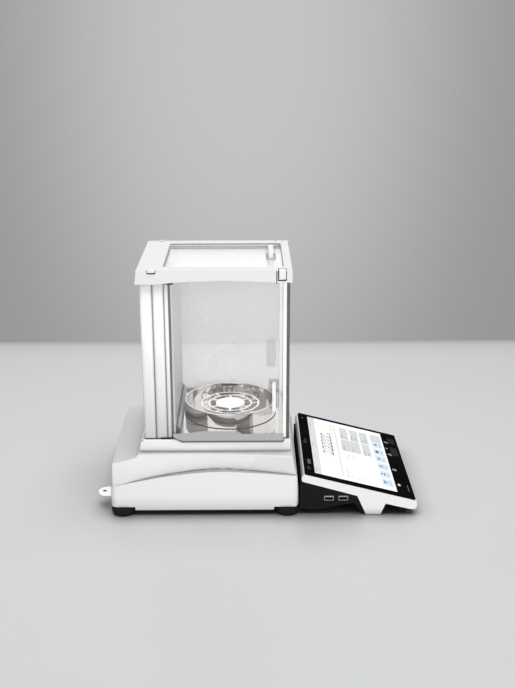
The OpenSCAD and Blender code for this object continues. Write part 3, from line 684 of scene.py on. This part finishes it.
def plate_yz(name, outline, x, material, body="housing"):
    """Upright plate: outline of (y, z) points, between two x."""
    n = len(outline)
    verts = [place(px, py, pz) for px in x for py, pz in outline]
    faces = [tuple(range(n)), tuple(range(2 * n - 1, n - 1, -1))]
    faces += [(i, n + i, n + (i + 1) % n, (i + 1) % n) for i in range(n)]
    add_piece(name, verts, faces, material, body)


def swept(name, section, stations, material, side):
    """Closed strip: section(y) gives the same number of (x, z) corners at every y."""
    rows = [section(y) for y in stations]
    count = len(rows[0])
    verts = [place(side * x, y, z) for y, row in zip(stations, rows) for x, z in row]
    faces = []
    for i in range(len(stations) - 1):
        for j in range(count):
            near, following = i * count + j, i * count + (j + 1) % count
            faces.append((near, following, following + count, near + count))
    last = (len(stations) - 1) * count
    faces += [tuple(range(count - 1, -1, -1)), tuple(last + j for j in range(count))]
    if side < 0:
        faces = [face[::-1] for face in faces]
    add_piece(name, verts, faces, material)


# ------------------------------------------------------------------ terminal display
# Display points are (x, s): x across, s mm down the sloping glass from its rear edge.
# glass edges as (distance forward, height)
GLASS_REAR = (140.3, 64.7)
GLASS_FRONT = (296.5, 24.1)
GLASS_RUN = GLASS_FRONT[0] - GLASS_REAR[0]
GLASS_FALL = GLASS_REAR[1] - GLASS_FRONT[1]
GLASS_LENGTH = math.hypot(GLASS_RUN, GLASS_FALL)
SLOPE_COS = GLASS_RUN / GLASS_LENGTH
SLOPE_SIN = GLASS_FALL / GLASS_LENGTH

# bottom and top of the display layers above the glass
BASE_LAYER = (0.01, 0.05)
FILL_LAYER = (0.05, 0.07)
INK_LAYER = (0.07, 0.09)
WINDOW_LAYER = (0.0, 0.04)

DIGIT_WIDTH, DIGIT_HEIGHT, DIGIT_STROKE = 8.8, 16.0, 1.5
DIGIT_SLANT = 0.12
MARK_GAP, MARK_STROKE = 0.7, 0.42


def slope_point(x, s, height):
    forward = GLASS_REAR[0] + s * SLOPE_COS + height * SLOPE_SIN
    return place(x, -forward, GLASS_REAR[1] - s * SLOPE_SIN + height * SLOPE_COS)


class Patches:
    """Thin raised patches of one colour on the terminal glass, as closed slabs."""

    def __init__(self, layer):
        self.layer = layer
        self.verts, self.faces = [], []
        self.origin = (0.0, 0.0)

    def draw(self, shapes):
        """Each shape is a method's name and its arguments."""
        for kind, *args in shapes:
            getattr(self, kind)(*args)

    def group(self, x, s, *shapes):
        """Shapes drawn around their own origin."""
        self.origin = (x, s)
        self.draw(shapes)
        self.origin = (0.0, 0.0)

    def poly(self, points):
        n = len(points)
        first = len(self.verts)
        points = [(x + self.origin[0], s + self.origin[1]) for x, s in points]
        for height in self.layer:
            self.verts += [slope_point(x, s, height) for x, s in points]
        area = sum(x0 * -s1 - x1 * -s0
                   for (x0, s0), (x1, s1) in zip(points, points[1:] + points[:1]))
        order = list(range(n)) if area > 0 else list(range(n - 1, -1, -1))
        self.faces.append([first + n + i for i in order])
        self.faces.append([first + i for i in reversed(order)])
        for i, j in zip(order, order[1:] + order[:1]):
            self.faces.append([first + i, first + j, first + n + j, first + n + i])

    def rect(self, x0, s0, x1, s1, radius=0.0):
        if radius <= 0:
            self.poly([(x0, s1), (x1, s1), (x1, s0), (x0, s0)])
            return
        outline = []
        for x, s, start in ((x1 - radius, s1 - radius, -90), (x1 - radius, s0 + radius, 0),
                            (x0 + radius, s0 + radius, 90), (x0 + radius, s1 - radius, 180)):
            for i in range(5):
                angle = math.radians(start + 90 * i / 4)
                outline.append((x + radius * math.cos(angle), s - radius * math.sin(angle)))
        self.poly(outline)

    def disc(self, x, s, radius):
        self.poly([(x + px, s - py) for px, py in circle(radius, steps=20)])

    def ring(self, x, s, inner, outer, start=0, end=360, steps=24):
        for i in range(steps):
            a, b = (math.radians(start + (end - start) * j / steps) for j in (i, i + 1))
            self.poly([(x + radius * math.cos(angle), s - radius * math.sin(angle))
                       for radius, angle in ((inner, a), (outer, a), (outer, b), (inner, b))])

    def line(self, x0, s0, x1, s1, width):
        length = math.hypot(x1 - x0, s1 - s0)
        dx = -(s1 - s0) / length * width / 2
        ds = (x1 - x0) / length * width / 2
        self.poly([(x0 + dx, s0 + ds), (x1 + dx, s1 + ds),
                   (x1 - dx, s1 - ds), (x0 - dx, s0 - ds)])

    def marks(self, x, s, height, widths):
        """Row of small generic bars that stands for a line of small print."""
        for i, width in enumerate(widths):
            self.rect(x, s, x + width, s + MARK_STROKE)
            if i % 2 == 0:
                self.rect(x, s + height - MARK_STROKE, x + width * 0.8, s + height)
                self.rect(x, s + MARK_STROKE, x + MARK_STROKE, s + height - MARK_STROKE)
            else:
                self.rect(x + width - MARK_STROKE, s + MARK_STROKE, x + width, s + height)
            x += width + MARK_GAP

    def zero(self, x, s):
        """Slanted six-stroke zero with its lower left corner at x, s."""
        w, h, t = DIGIT_WIDTH, DIGIT_HEIGHT, DIGIT_STROKE
        gap = t * 0.12
        # corners of each stroke as (across, up), clockwise round the digit from the top stroke
        strokes = (
            ((gap, h), (w - gap, h), (w - t, h - t), (t, h - t)),
            ((w, h - gap), (w, h / 2 + gap), (w - t, h / 2 + t / 2 + gap), (w - t, h - t - gap)),
            ((w, h / 2 - gap), (w, gap), (w - t, t + gap), (w - t, h / 2 - t / 2 - gap)),
            ((t, t), (w - t, t), (w - gap, 0), (gap, 0)),
            ((0, h / 2 - gap), (t, h / 2 - t / 2 - gap), (t, t + gap), (0, gap)),
            ((0, h - gap), (t, h - t - gap), (t, h / 2 + t / 2 + gap), (0, h / 2 + gap)),
        )
        for stroke in strokes:
            self.poly([(x + across + up * DIGIT_SLANT, s - up) for across, up in stroke])


# the reading: a zero, the point, five zeros and the unit letter
READING_X, READING_S = -26.2, 48.6
DIGIT_PITCH, POINT_PITCH = 12.4, 2.4
DECIMALS = 5
decimals_x = READING_X + DIGIT_PITCH + POINT_PITCH
reading = [("zero", READING_X, READING_S),
           ("disc", READING_X + DIGIT_PITCH - 0.4, READING_S - 1.1, 1.15)]
reading += [("zero", decimals_x + i * DIGIT_PITCH, READING_S) for i in range(DECIMALS)]
# the unit letter is a ring with a hook
reading.append(("group", decimals_x + DECIMALS * DIGIT_PITCH, READING_S,
                ("ring", 2.4, -2.6, 1.3, 2.3), ("line", 4.4, -5.0, 4.4, 1.4, 0.95),
                ("ring", 2.4, 1.2, 1.3, 2.2, 200, 360, 12)))

# small print: x, s, height, bar widths
READING_MARKS = ((65.4, 32.0, 2.0, (3.4, 3.0, 3.6)), (84.0, 32.4, 1.5, (1.4, 1.2)))
SMALL_MARKS = (
    (-97.4, 16.8, 1.4, (2.2, 1.6, 2.6, 1.8, 1.6)),
    (-5.0, 16.8, 1.4, (2.0, 1.8, 2.2)),
    (71.0, 17.2, 1.4, (1.8, 1.6, 1.8)),
    (-93.4, 51.4, 1.6, (2.2, 2.0, 1.8)),
    (-49.0, 49.6, 1.6, (1.6, 1.4)),
    (43.0, 51.2, 1.6, (1.6, 1.8)),
    (-94.0, 64.4, 2.3, (3.0, 2.6, 3.2, 2.8, 3.0, 2.4, 3.2, 2.8, 3.0, 2.6)),
    (-94.0, 71.2, 2.2, (2.4, 2.0, 2.8, 2.2)),
    (-27.0, 71.2, 2.4, (2.6, 3.0, 2.4, 2.8, 2.6, 2.2)),
    (-94.0, 78.8, 2.2, (2.6, 2.4, 2.2, 2.6)),
    (-27.0, 78.8, 2.4, (2.6, 2.8, 2.6, 2.6, 2.8, 2.2)),
    (-94.0, 85.6, 2.2, (2.8, 2.4, 2.6, 2.2, 2.6)),
)
TILE_MARKS = (
    (4.0, 67.2, 1.9, (2.2, 1.8, 2.4, 2.0, 2.6, 2.2)),
    (4.6, 81.2, 1.9, (2.4, 2.8, 2.4)),
    (47.4, 67.2, 1.9, (2.4, 2.2, 2.6, 2.2, 2.4, 1.8)),
    (47.4, 72.8, 1.9, (2.4, 2.6)),
    (47.4, 83.2, 1.9, (2.2, 2.0, 2.4, 2.2, 2.4, 2.0)),
    (48.2, 89.2, 1.9, (2.6, 2.4, 2.6, 2.2)),
    (2.2, 99.6, 1.9, (2.4, 2.2, 2.6, 2.4, 2.2)),
    (2.2, 105.2, 1.9, (2.4, 2.6, 2.2)),
    (47.4, 99.6, 1.9, (2.2, 2.4, 2.2, 2.2)),
    (48.2, 105.2, 1.9, (2.4, 2.6, 2.4, 2.6, 2.2)),
)
# x0, s0, x1, s1 of the tiles; the last stands at the end of the button row
BUTTON_S = (116.0, 132.8)
TILES = (
    (0.0, 64.4, 43.4, 94.4), (45.4, 65.0, 89.4, 78.4), (45.4, 81.6, 89.4, 94.8),
    (0.0, 97.6, 43.4, 110.4), (45.4, 97.6, 89.4, 111.0), (63.8, BUTTON_S[0], 90.6, BUTTON_S[1]),
)
BUTTONS_X = (-80.0, -53.0, -26.6, 0.2, 25.4, 52.2)
# the icon of each button, around the icon's own origin
ICONS = (
    (("rect", -5, -2.6, 5, -1.2), ("rect", -3.4, -0.4, 3.4, 0.8),
     ("poly", [(-1.8, 1.8), (1.8, 1.8), (0, 4.6)])),
    (("disc", 0, -2.0, 2.0), ("rect", -4.4, 1.4, 4.4, 3.2, 0.6)),
    (("ring", 0, 0, 2.2, 3.2), ("rect", -0.6, -1.6, 0.6, 1.6)),
    (("line", -3.4, -2.6, 3.4, 2.6, 1.4), ("line", -3.4, 2.6, 3.4, -2.6, 1.4)),
    (("rect", -4.4, -1.6, 4.4, 2.6, 1.0), ("poly", [(-2.4, -1.6), (2.4, -1.6), (0, -4.2)])),
    (("poly", [(-3.6, 2.8), (3.6, 2.8), (0, -3.6)]),),
)
icons = []
for x, icon in zip(BUTTONS_X, ICONS):
    icons += [("group", x, 121.2, *icon), ("marks", x - 4.2, 128.0, 1.7, (2.0, 2.2, 2.4))]

# touch keys printed under the black border
KEYS_S = 141.6
TOUCH_KEYS = (
    ("group", -78.6, KEYS_S, ("rect", -3.6, -2.0, 3.6, 2.0, 1.6)),
    ("group", -28.0, KEYS_S, ("ring", 0, 0, 2.4, 3.2), ("line", -1.6, 1.6, 1.6, -1.6, 0.7)),
    ("group", 27.0, KEYS_S, ("line", 0, -2.8, -3.6, 1.8, 0.7), ("line", 0, -2.8, 3.6, 1.8, 0.7),
     ("line", -3.4, 2.2, 3.4, 2.2, 0.7)),
    ("group", 49.4, KEYS_S, ("rect", -2.2, -3.2, 2.2, -2.5), ("rect", -2.2, -1.4, 2.2, -0.7)),
    ("group", 73.4, KEYS_S, ("ring", 0, 0, 2.2, 2.9, 120, 420), ("rect", -0.4, -3.6, 0.4, -0.4)),
    ("disc", 95.0, 6.4, 0.9),
)
BORDER_MARKS = (
    ("ring", -93.0, 6.4, 1.8, 2.5),
    ("marks", -89.0, 5.6, 1.6, (1.6, 1.4)),
    *(("rect", -76.2 + i * 4.0, 5.6, -76.2 + i * 4.0 + 2.8, 10.4, 0.5) for i in range(4)),
    ("ring", -1.0, 5.6, 1.8, 2.5),
    ("marks", 5.0, 6.0, 1.8, (2.0, 1.8, 2.0)),
    ("rect", -93.4, 154.0, -73.0, 155.0, 0.4),
)


def all_marks(rows):
    return [("marks", *row) for row in rows]


SCREEN_LEFT, SCREEN_RIGHT, SCREEN_REAR = -104, 104, 14.6
# object name, material, layer, shapes
DISPLAY = (
    ("screen_back", "scr_white", BASE_LAYER,
     [("rect", SCREEN_LEFT, SCREEN_REAR, SCREEN_RIGHT, 135.5, 0.6)]),
    ("screen_header", "scr_head", FILL_LAYER,
     [("rect", SCREEN_LEFT, SCREEN_REAR, SCREEN_RIGHT, 25.2, 0.4),
      ("rect", -93.0, 56.2, 95.0, 58.6, 0.4)]),
    ("screen_lines", "scr_line", FILL_LAYER,
     [("rect", -39.0, READING_S, 45.0, 49.4), ("rect", -93.0, 60.0, -4.0, 60.4)]),
    ("screen_ink", "scr_ink", INK_LAYER, reading + all_marks(READING_MARKS)),
    ("screen_small_marks", "scr_grey", INK_LAYER,
     all_marks(SMALL_MARKS) + [("disc", x, 63.0, 0.9) for x in (-13.0, -3.0, 3.0, 13.0)]),
    ("screen_tiles", "scr_tile", FILL_LAYER, [("rect", *tile, 0.9) for tile in TILES]),
    ("screen_tile_marks", "scr_grey", INK_LAYER, all_marks(TILE_MARKS)),
    ("screen_buttons", "scr_blue", FILL_LAYER,
     [("rect", x - 12.0, BUTTON_S[0], x + 11.6, BUTTON_S[1], 1.1) for x in BUTTONS_X]),
    ("screen_button_icons", "scr_navy", INK_LAYER, icons),
    ("screen_status", "scr_green", FILL_LAYER, [("rect", 63.8, 48.8, 92.2, 54.0, 2.5)]),
    ("screen_status_mark", "scr_white", INK_LAYER,
     [("marks", 73.0, 50.4, 1.8, (2.0, 2.2, 2.0, 2.2))]),
    ("touch_keys", "icon_white", BASE_LAYER, TOUCH_KEYS),
    ("border_marks", "icon_dim", BASE_LAYER, BORDER_MARKS),
    ("infrared_windows", "ir_window", WINDOW_LAYER,
     [("rect", 27.0, 145.2, 57.0, 156.8, 1.6), ("rect", 73.0, 145.2, 93.0, 156.8, 1.6)]),
)
for name, material, layer, shapes in DISPLAY:
    patches = Patches(layer)
    patches.draw(shapes)
    add_piece(name, patches.verts, patches.faces, material, recalc=False)


# ------------------------------------------------------------------ top opening
for side, tag in ((-1, "l"), (1, "r")):
    disc("rail_pin_" + tag, (side * 84.6, 41.2, 349.96), 0.9, "z", "dark_gap", depth=0.12)

OPENING_Y = -28.45
OPENING_WIDTH, OPENING_LENGTH, OPENING_RADIUS = 142.9, 162.6, 2.95


def opening_outline(inset):
    return rounded_rect(OPENING_WIDTH - 2 * inset, OPENING_LENGTH - 2 * inset,
                        OPENING_RADIUS - inset)


loop_strip("top_opening_gasket", OPENING_Y, opening_outline(0), opening_outline(0.3),
           z=(348.85, 349.75), material="seal_grey")
for side, tag in SIDES:
    box("opening_edge_" + tag, side, x=(71.0, 71.25), y=(-108.0, 51.0), z=(348.75, 349.7),
        material="dark_gap")
# pale sheet over the opening's inner wall, lighter than the frame and without its crease shade:
# painted light
loop_strip("top_opening_lining", OPENING_Y, opening_outline(0), opening_outline(0.2),
           z=(346.35, 348.8), material="lining")

# ------------------------------------------------------------------ ledge between the base shells
# painted shade: a grey band on the ledge, and a dark painted shadow line above it
CREST_Y, CREST_Z = -24, 66.5  # highest point of the arched ledge
SHELL_HALF = 111.5  # half width of the base
LEDGE_REAR_Y, LEDGE_FRONT_Y = 116.0, -126.0
LEDGE_STEPS = 60


def ledge_z(y):
    """Height of the ledge: drops 22 mm over 154 to the rear, 6.6 over 104 to the front."""
    if y > CREST_Y:
        return CREST_Z - 22.0 * ((y - CREST_Y) / 154) ** 1.62
    return CREST_Z - 6.6 * ((CREST_Y - y) / 104) ** 1.25


def shell_x(y, z):
    """Half width of the upper shell: waisted around y = -14, leaning in above z = 62."""
    waist = 0.5 + 7.8 * max(0.0, 1 - ((y + 14) / 121) ** 2)
    lean = 5 + (0.028 if y > -30 else 0.045) * (y + 30)
    return SHELL_HALF - waist - max(0.0, z - 62) / 24.6 * (lean - 0.3)


def band_section(y):
    z = ledge_z(y)
    inner = shell_x(y, z) + 0.06
    outer = max(inner + 0.02, SHELL_HALF - 1.5)
    return [(inner, z - 0.2), (outer, z - 0.2), (outer, z + 0.12), (inner, z + 0.12)]


def crease_section(y):
    """Slanted strip of painted shadow on the shell, lowest at both ends."""
    z = ledge_z(y)
    along = (y - LEDGE_FRONT_Y) / (LEDGE_REAR_Y - LEDGE_FRONT_Y)
    top = z + 0.25 + 1.5 * max(0.0, math.sin(math.pi * along)) ** 0.6
    low_x, top_x = shell_x(y, z), shell_x(y, top)
    return [(low_x - 0.3, z - 0.2), (low_x + 0.12, z - 0.2), (top_x + 0.12, top),
            (top_x - 0.3, top)]


ledge_stations = [LEDGE_FRONT_Y + (LEDGE_REAR_Y - LEDGE_FRONT_Y) * i / LEDGE_STEPS
                  for i in range(LEDGE_STEPS + 1)]
for side, tag in SIDES:
    swept("reveal_band_" + tag, band_section, ledge_stations, "reveal_grey", side)
    swept("reveal_crease_" + tag, crease_section, ledge_stations, "reveal_dark", side)

# ------------------------------------------------------------------ side details
# (y, z) of the painted shadow strip under the folded lip of the floor tray
LIP_SHADOW = ((-110.9, 105.4), (-109.3, 102.7), (31.4, 102.7), (38.6, 106.3),
            (38.6, 107.9), (30.9, 104.15), (-108.5, 104.15), (-110.5, 106.7))
# (y, z) of the moulded slot in the side of the terminal's back block
COVER_SLOT = ((-151.6, 21.0), (-151.6, 22.2), (-157.6, 21.6), (-157.6, 20.6))
COVER_X = 109.43  # middle of the slot and the plug beside it

for side, tag in SIDES:
    # dark strip in the shade under the tray lip: painted shadow
    plate_yz("tray_lip_seal_" + tag, LIP_SHADOW, (side * 90.55, side * 91.75), "seal_grey")
    # dark ends of the door track, low and high
    box("track_end_" + tag, side, x=(89.8, 90.45), y=(45.2, 60.6), z=(107.15, 108.6),
        material="dark_gap")
    box("track_head_" + tag, side, x=(88.4, 90.2), y=(43.4, 49.4), z=(331.4, 333.2),
        material="dark_gap")
    slot_x = (side * (COVER_X - 0.05), side * (COVER_X + 0.05))
    plate_yz("cover_slot_" + tag, COVER_SLOT, slot_x, "dark_gap")
    disc("cover_plug_" + tag, (side * COVER_X, -162.2, 36.0), 0.8, "x", "dark_gap", depth=0.1)


def usb_teeth(name, datum_y):
    """Strip of four pointed contact teeth at the top of a socket opening."""
    front, rear = datum_y - 12.9, datum_y - 1.3
    teeth = []
    for i in range(4):
        y = datum_y - 12.6 + i * 2.8
        teeth += [(y, 26.9), (y + 1.2, 25.4), (y + 2.4, 26.9)]
    lower = [(front, 27.0)] + teeth + [(rear, 27.0)]
    # the teeth take an emitting screen colour, so they glow: painted light
    plate_yz(name, lower[::-1] + [(front, 27.35), (rear, 27.35)], (-109.35, -109.1), "scr_line")


usb_teeth("usb_teeth_0", datum_y=-167.2)
usb_teeth("usb_teeth_1", datum_y=-187.4)

# ------------------------------------------------------------------ sides of the top frame
FRAME_HALF, FRAME_TOP = 92.40, 350
FRAME_LEAN = 1.1, 19  # the side leans out by the first length over the second
LEAN_FACES = ((0, 1, 5, 4), (2, 6, 7, 3), (0, 4, 6, 2), (1, 3, 7, 5), (4, 5, 7, 6), (0, 2, 3, 1))
LATCH_FRONT, LATCH_REAR, LATCH_LOW = -113.0, -101.2, 336.4
# name, y span, z span, distance proud of the side, depth into it, material
LEAN_PLATES = (
    ("latch_gap_rear_", (-101.8, LATCH_REAR), (LATCH_LOW, 348.6), 0.05, 0.6, "dark_gap"),
    ("latch_gap_low_", (LATCH_FRONT, LATCH_REAR), (335.5, LATCH_LOW), 0.05, 0.6, "dark_gap"),
    ("latch_gap_front_", (-113.4, LATCH_FRONT), (LATCH_LOW, 348.6), 0.05, 0.6, "seal_grey"),
    ("parting_line_", (-100.35, -99.25), (331.6, 348.7), -0.25, 1.6, "dark_gap"),
)
# y spans of the grey line along the frame's top edge: painted shade
SHADE_LINES_Y = ((-98.6, 60.6), (73.2, 84.0))


def lean_plate(name, side, y, z, proud, depth, material):
    """Thin plate on the frame's side, which leans out towards its lower edge."""
    verts = []
    for pz in z:
        face_x = FRAME_HALF + FRAME_LEAN[0] * (FRAME_TOP - pz) / FRAME_LEAN[1]
        verts += [place(side * px, py, pz) for px in (face_x + proud, face_x - depth)
                  for py in y]
    add_piece(name, verts, LEAN_FACES, material)


for side, tag in SIDES:
    for name, *plate in LEAN_PLATES:
        lean_plate(name + tag, side, *plate)
    for i, shade_line_y in enumerate(SHADE_LINES_Y):
        box("edge_bead_%s_%d" % (tag, i), side, x=(FRAME_HALF - 0.35, FRAME_HALF + 0.02),
            y=shade_line_y, z=(349.1, 349.62), material="bead_grey")
    disc("neck_plug_" + tag, (side * 90.5, 87.0, 104.7), 0.9, "x", "dark_gap", depth=0.12)

# ------------------------------------------------------------------ air outlet
# Its sloping face rises to the rear from a nose at the back of the chamber.
NOSE_Y, NOSE_Z = 34.2, 119.6
RISE_Y, RISE_Z = 0.629, 0.777  # direction up the face
SINK = -0.3  # how far the patches reach below the face
SLOTS, SLOTS_LENGTH, SLOT_HALF, SLOT_RISE = 16, 152, 3.4, (5.6, 8.2)
HOLES, HOLES_START, HOLE_PITCH, HOLE_RISE = 22, -77.7, 7.4, 2.7
HOLE_STEPS = 20


def outlet_point(x, rise, out):
    """rise mm up the face from the nose, out mm proud of it."""
    return place(x, NOSE_Y + RISE_Y * rise - RISE_Z * out, NOSE_Z + RISE_Z * rise + RISE_Y * out)


def outlet_slots(name, height, material):
    """Row of slots near the outlet's top edge."""
    verts, faces = [], []
    for i in range(SLOTS):
        middle = -SLOTS_LENGTH / 2 + i * SLOTS_LENGTH / (SLOTS - 1)
        faces += [tuple(len(verts) + j for j in face) for face in BOX_FACES]
        verts += [outlet_point(x, rise, out) for x in (middle - SLOT_HALF, middle + SLOT_HALF)
                  for rise in SLOT_RISE for out in (SINK, height)]
    add_piece(name, verts, faces, material)


def outlet_discs(name, radius, height, material):
    """One disc at each hole near the outlet's nose."""
    n = HOLE_STEPS
    verts, faces = [], []
    for i in range(HOLES):
        middle = HOLES_START + i * HOLE_PITCH
        low = len(verts)
        top = low + n
        for out in (SINK, height):
            verts += [outlet_point(middle + px, HOLE_RISE + py, out)
                      for px, py in circle(radius, n)]
        faces += [(low + j, low + (j + 1) % n, top + (j + 1) % n, top + j) for j in range(n)]
        faces += [tuple(range(top - 1, low - 1, -1)), tuple(range(top, top + n))]
    add_piece(name, verts, faces, material)


outlet_slots("outlet_slots", height=0.05, material="dark_gap")
outlet_discs("outlet_hole_rims", radius=2.7, height=0.06, material="seal_white")
# dark discs inside the holes: painted shade
outlet_discs("outlet_hole_shades", radius=1.6, height=0.10, material="dark_gap")

# ------------------------------------------------------------------ lug, ring and grips
# dark disc inside the lug's hole: painted shade
disc("lug_hole_shade", (-76.2, 145.2, 20.3), 3.4, "z", "dark_gap", depth=0.3)
# dark joint line round the foot of the draught ring
loop_strip("ring_foot_seal", PAN_Y, circle(67.05), circle(66.62), z=(112.06, 112.75),
           material="dark_gap", body="ring")

PANE_X = 86.6  # outer face of the side panes
FILM_LIFT, FILM_THICKNESS = 0.01, 0.02
film_y, film_z = sum(GRIP_FILM_Y) / 2, sum(GRIP_FILM_Z) / 2
film_outline = [(film_y + py, film_z + pz) for py, pz in rounded_rect(
    GRIP_FILM_Y[1] - GRIP_FILM_Y[0], GRIP_FILM_Z[1] - GRIP_FILM_Z[0], radius=1.5)]
for side, tag in SIDES:
    film_x = side * (PANE_X + FILM_LIFT)
    plate_yz("grip_pad_" + tag, film_outline, (film_x, film_x + side * FILM_THICKNESS),
             "grip_film_" + tag, tag + "_door")

# ------------------------------------------------------------------ stage
WALL_X = 0.685  # backdrop, beyond the balance's right side
STAGE_REACH = 6
WALL_HEIGHT = 5


def stage_plane(name, verts, material):
    mesh = bpy.data.meshes.new(name)
    mesh.from_pydata(verts, [], [(0, 1, 2, 3)])
    mesh.update()
    mesh.materials.append(material)
    made = bpy.data.objects.new(name, mesh)
    scene.collection.objects.link(made)
    made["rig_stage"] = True


def floor_material():
    """Pale floor with painted shade: a little darker towards the backdrop, and painted contact
    shadows.
    """
    shader = new_shader("stage_floor")
    colour = (0.885, 0.89, 0.896)
    black = opaque(0)
    vector = shader.coords()
    cloud = shader.noise(vector, scale=3.0, detail=2)
    base = shader.mix_color(shader.soft(cloud), opaque(colour), opaque(colour, 0.985))
    # painted shade: darker towards the backdrop
    fade = shader.remap(shader.axes(vector)["X"], span=(-0.9, 0.65), to=(1.0, 0.78))
    base = shader.mix_color(fade, black, base)
    # painted contact shadows round the balance, a wide soft one and a tight dark one
    wide = shader.painted_crevice_shade(distance=0.11, closed=0.45, floor=0.80)
    base = shader.mix_color(wide, black, base)
    tight = shader.painted_crevice_shade(distance=0.035, closed=0.25, floor=0.38)
    base = shader.mix_color(tight, black, base)
    return shader.finish(shader.bsdf("Principled", {
        "Base Color": base, "Roughness": 0.30, "Specular IOR Level": 0.3}))


def wall_material():
    """Backdrop with a soft pool of light, brighter in mirror reflections than to the eye."""
    shader = new_shader("stage_wall")
    source = shader.add("TexCoord").outputs["Object"]
    pool_offset = (0, -0.02, -0.62)
    centred = shader.add("Mapping", {"Location": pool_offset, "Vector": source}).outputs[0]
    # the pool is taller than wide
    scaled = shader.vector("MULTIPLY", centred, (0.0, 1.0, 0.55)).outputs[0]
    radius = shader.vector("LENGTH", scaled).outputs["Value"]
    grain = shader.noise(shader.coords(), scale=220.0, detail=3, roughness=0.6)
    pool = shader.remap(radius, span=(0.0, 0.72), to=(0.560, 0.315),
                        interpolation_type="SMOOTHERSTEP")
    speckle = shader.remap(grain, span=(0.2, 0.8), to=(-0.008, 0.008))
    to_eye = shader.math("ADD", pool, speckle)
    mirrored = shader.add("LightPath").outputs["Is Glossy Ray"]
    strength = shader.add("Mix", {0: mirrored, 2: to_eye, 3: 1.15}, data_type="FLOAT").outputs[0]
    light = shader.add("Emission", {"Color": opaque((0.985, 0.99, 1.0)), "Strength": strength})
    return shader.finish(light.outputs[0])


stage_plane("stage_floor", [(-STAGE_REACH, -STAGE_REACH, 0), (WALL_X, -STAGE_REACH, 0),
                            (WALL_X, STAGE_REACH, 0), (-STAGE_REACH, STAGE_REACH, 0)],
            floor_material())
stage_plane("stage_wall", [(WALL_X, -STAGE_REACH, 0), (WALL_X, -STAGE_REACH, WALL_HEIGHT),
                           (WALL_X, STAGE_REACH, WALL_HEIGHT), (WALL_X, STAGE_REACH, 0)],
            wall_material())


# ------------------------------------------------------------------ lights
def area_light(name, location, target, size, power):
    light = bpy.data.lights.new(name, "AREA")
    light.shape = "RECTANGLE"
    light.size, light.size_y = size
    light.energy = power
    made = bpy.data.objects.new(name, light)
    scene.collection.objects.link(made)
    made.location = location
    direction = Vector(target) - Vector(location)
    made.rotation_euler = direction.to_track_quat("-Z", "Y").to_euler()
    made.visible_glossy = False
    return made


area_light("light_top", location=(0.18, 0.0, 2.2), target=(0.0, 0, 0.1), size=(1.8, 2.2),
           power=45)
key = area_light("light_key", location=(-2.6, -0.5, 0.75), target=(0, 0, 0.16),
                 size=(2.4, 1.2), power=53)
fill = area_light("light_fill", location=(-1.2, -2.4, 1.0), target=(0, 0, 0.15),
                  size=(1.4, 1.4), power=10)
# key and fill light the balance only, so the floor keeps its deep contact shadow
lit = bpy.data.collections.new("lit_by_key")
for item in list(scene.collection.objects):
    if item.type in ("MESH", "CURVE") and not item.get("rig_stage"):
        lit.objects.link(item)
for lamp in (key, fill):
    lamp.light_linking.receiver_collection = lit

# ------------------------------------------------------------------ world
# Mirror rays see a bright studio with two dark openings, one to the rear and one between the
# camera's side and the front. Compass position (0.5 is the camera's side, 0.75 the front)
# and brightness:
STUDIO = (
    (0.0, 1.1), (0.20, 1.25), (0.235, 1.2), (0.245, 0.10), (0.262, 0.12), (0.272, 1.2),
    (0.40, 1.3), (0.52, 1.3), (0.535, 1.25), (0.55, 0.10), (0.64, 0.16), (0.66, 1.15),
    (0.80, 1.2), (1.0, 1.1),
)
AMBIENT = (0.20, 0.205, 0.215)  # what all other rays see


def build_world():
    world = bpy.data.worlds.new("studio")
    scene.world = world
    shader = Shader(world)
    axes = shader.axes(shader.add("TexCoord").outputs["Generated"])
    toward_camera = shader.math("MULTIPLY", axes["X"], -1.0)
    forward = shader.math("MULTIPLY", axes["Y"], -1.0)
    angle = shader.math("ARCTAN2", forward, toward_camera)
    compass = shader.remap(angle, span=(-math.pi, math.pi), to=(0.0, 1.0))
    ramp = shader.add("ValToRGB", {"Fac": compass})
    ramp.color_ramp.interpolation = "EASE"
    stops = ramp.color_ramp.elements
    for stop, (position, level) in ((stops[0], STUDIO[0]), (stops[1], STUDIO[-1])):
        stop.position = position
        stop.color = opaque(level)
    for position, level in STUDIO[1:-1]:
        stops.new(position).color = opaque(level)
    mirrored = shader.add("LightPath").outputs["Is Glossy Ray"]
    seen = shader.mix_color(mirrored, opaque(AMBIENT), ramp.outputs["Color"])
    background = shader.add("Background", {"Color": seen, "Strength": 1.0}).outputs[0]
    shader.add("OutputWorld", {"Surface": background})


build_world()


# ------------------------------------------------------------------ camera and render settings
def build_camera():
    """Looks along +x, slightly down."""
    lens = bpy.data.cameras.new("camera")
    lens.lens = 53.785
    lens.sensor_width = 36.0
    lens.clip_start = 0.05
    lens.clip_end = 60
    camera = bpy.data.objects.new("camera", lens)
    scene.collection.objects.link(camera)
    pitch, yaw, roll = math.radians(18.12), math.radians(0.45), math.radians(-0.09)
    forward = Vector((math.cos(yaw) * math.cos(pitch), -math.sin(yaw) * math.cos(pitch),
                      -math.sin(pitch)))
    level_right = Vector((-math.sin(yaw), -math.cos(yaw), 0.0))
    level_up = level_right.cross(forward)
    right = level_right * math.cos(roll) + level_up * math.sin(roll)
    up = -level_right * math.sin(roll) + level_up * math.cos(roll)
    pose = Matrix((right, up, -forward)).transposed().to_4x4()
    pose.translation = Vector((-1.41638, -0.06379 + Y_SHIFT, 0.6807))
    camera.matrix_world = pose
    scene.camera = camera


build_camera()

scene.view_settings.view_transform = "Standard"
scene.view_settings.look = "None"
scene.view_settings.exposure = 0.0
scene.cycles.max_bounces = 12
scene.cycles.transparent_max_bounces = 24
scene.cycles.transmission_bounces = 8
scene.cycles.glossy_bounces = 8
scene.cycles.sample_clamp_indirect = 6.0
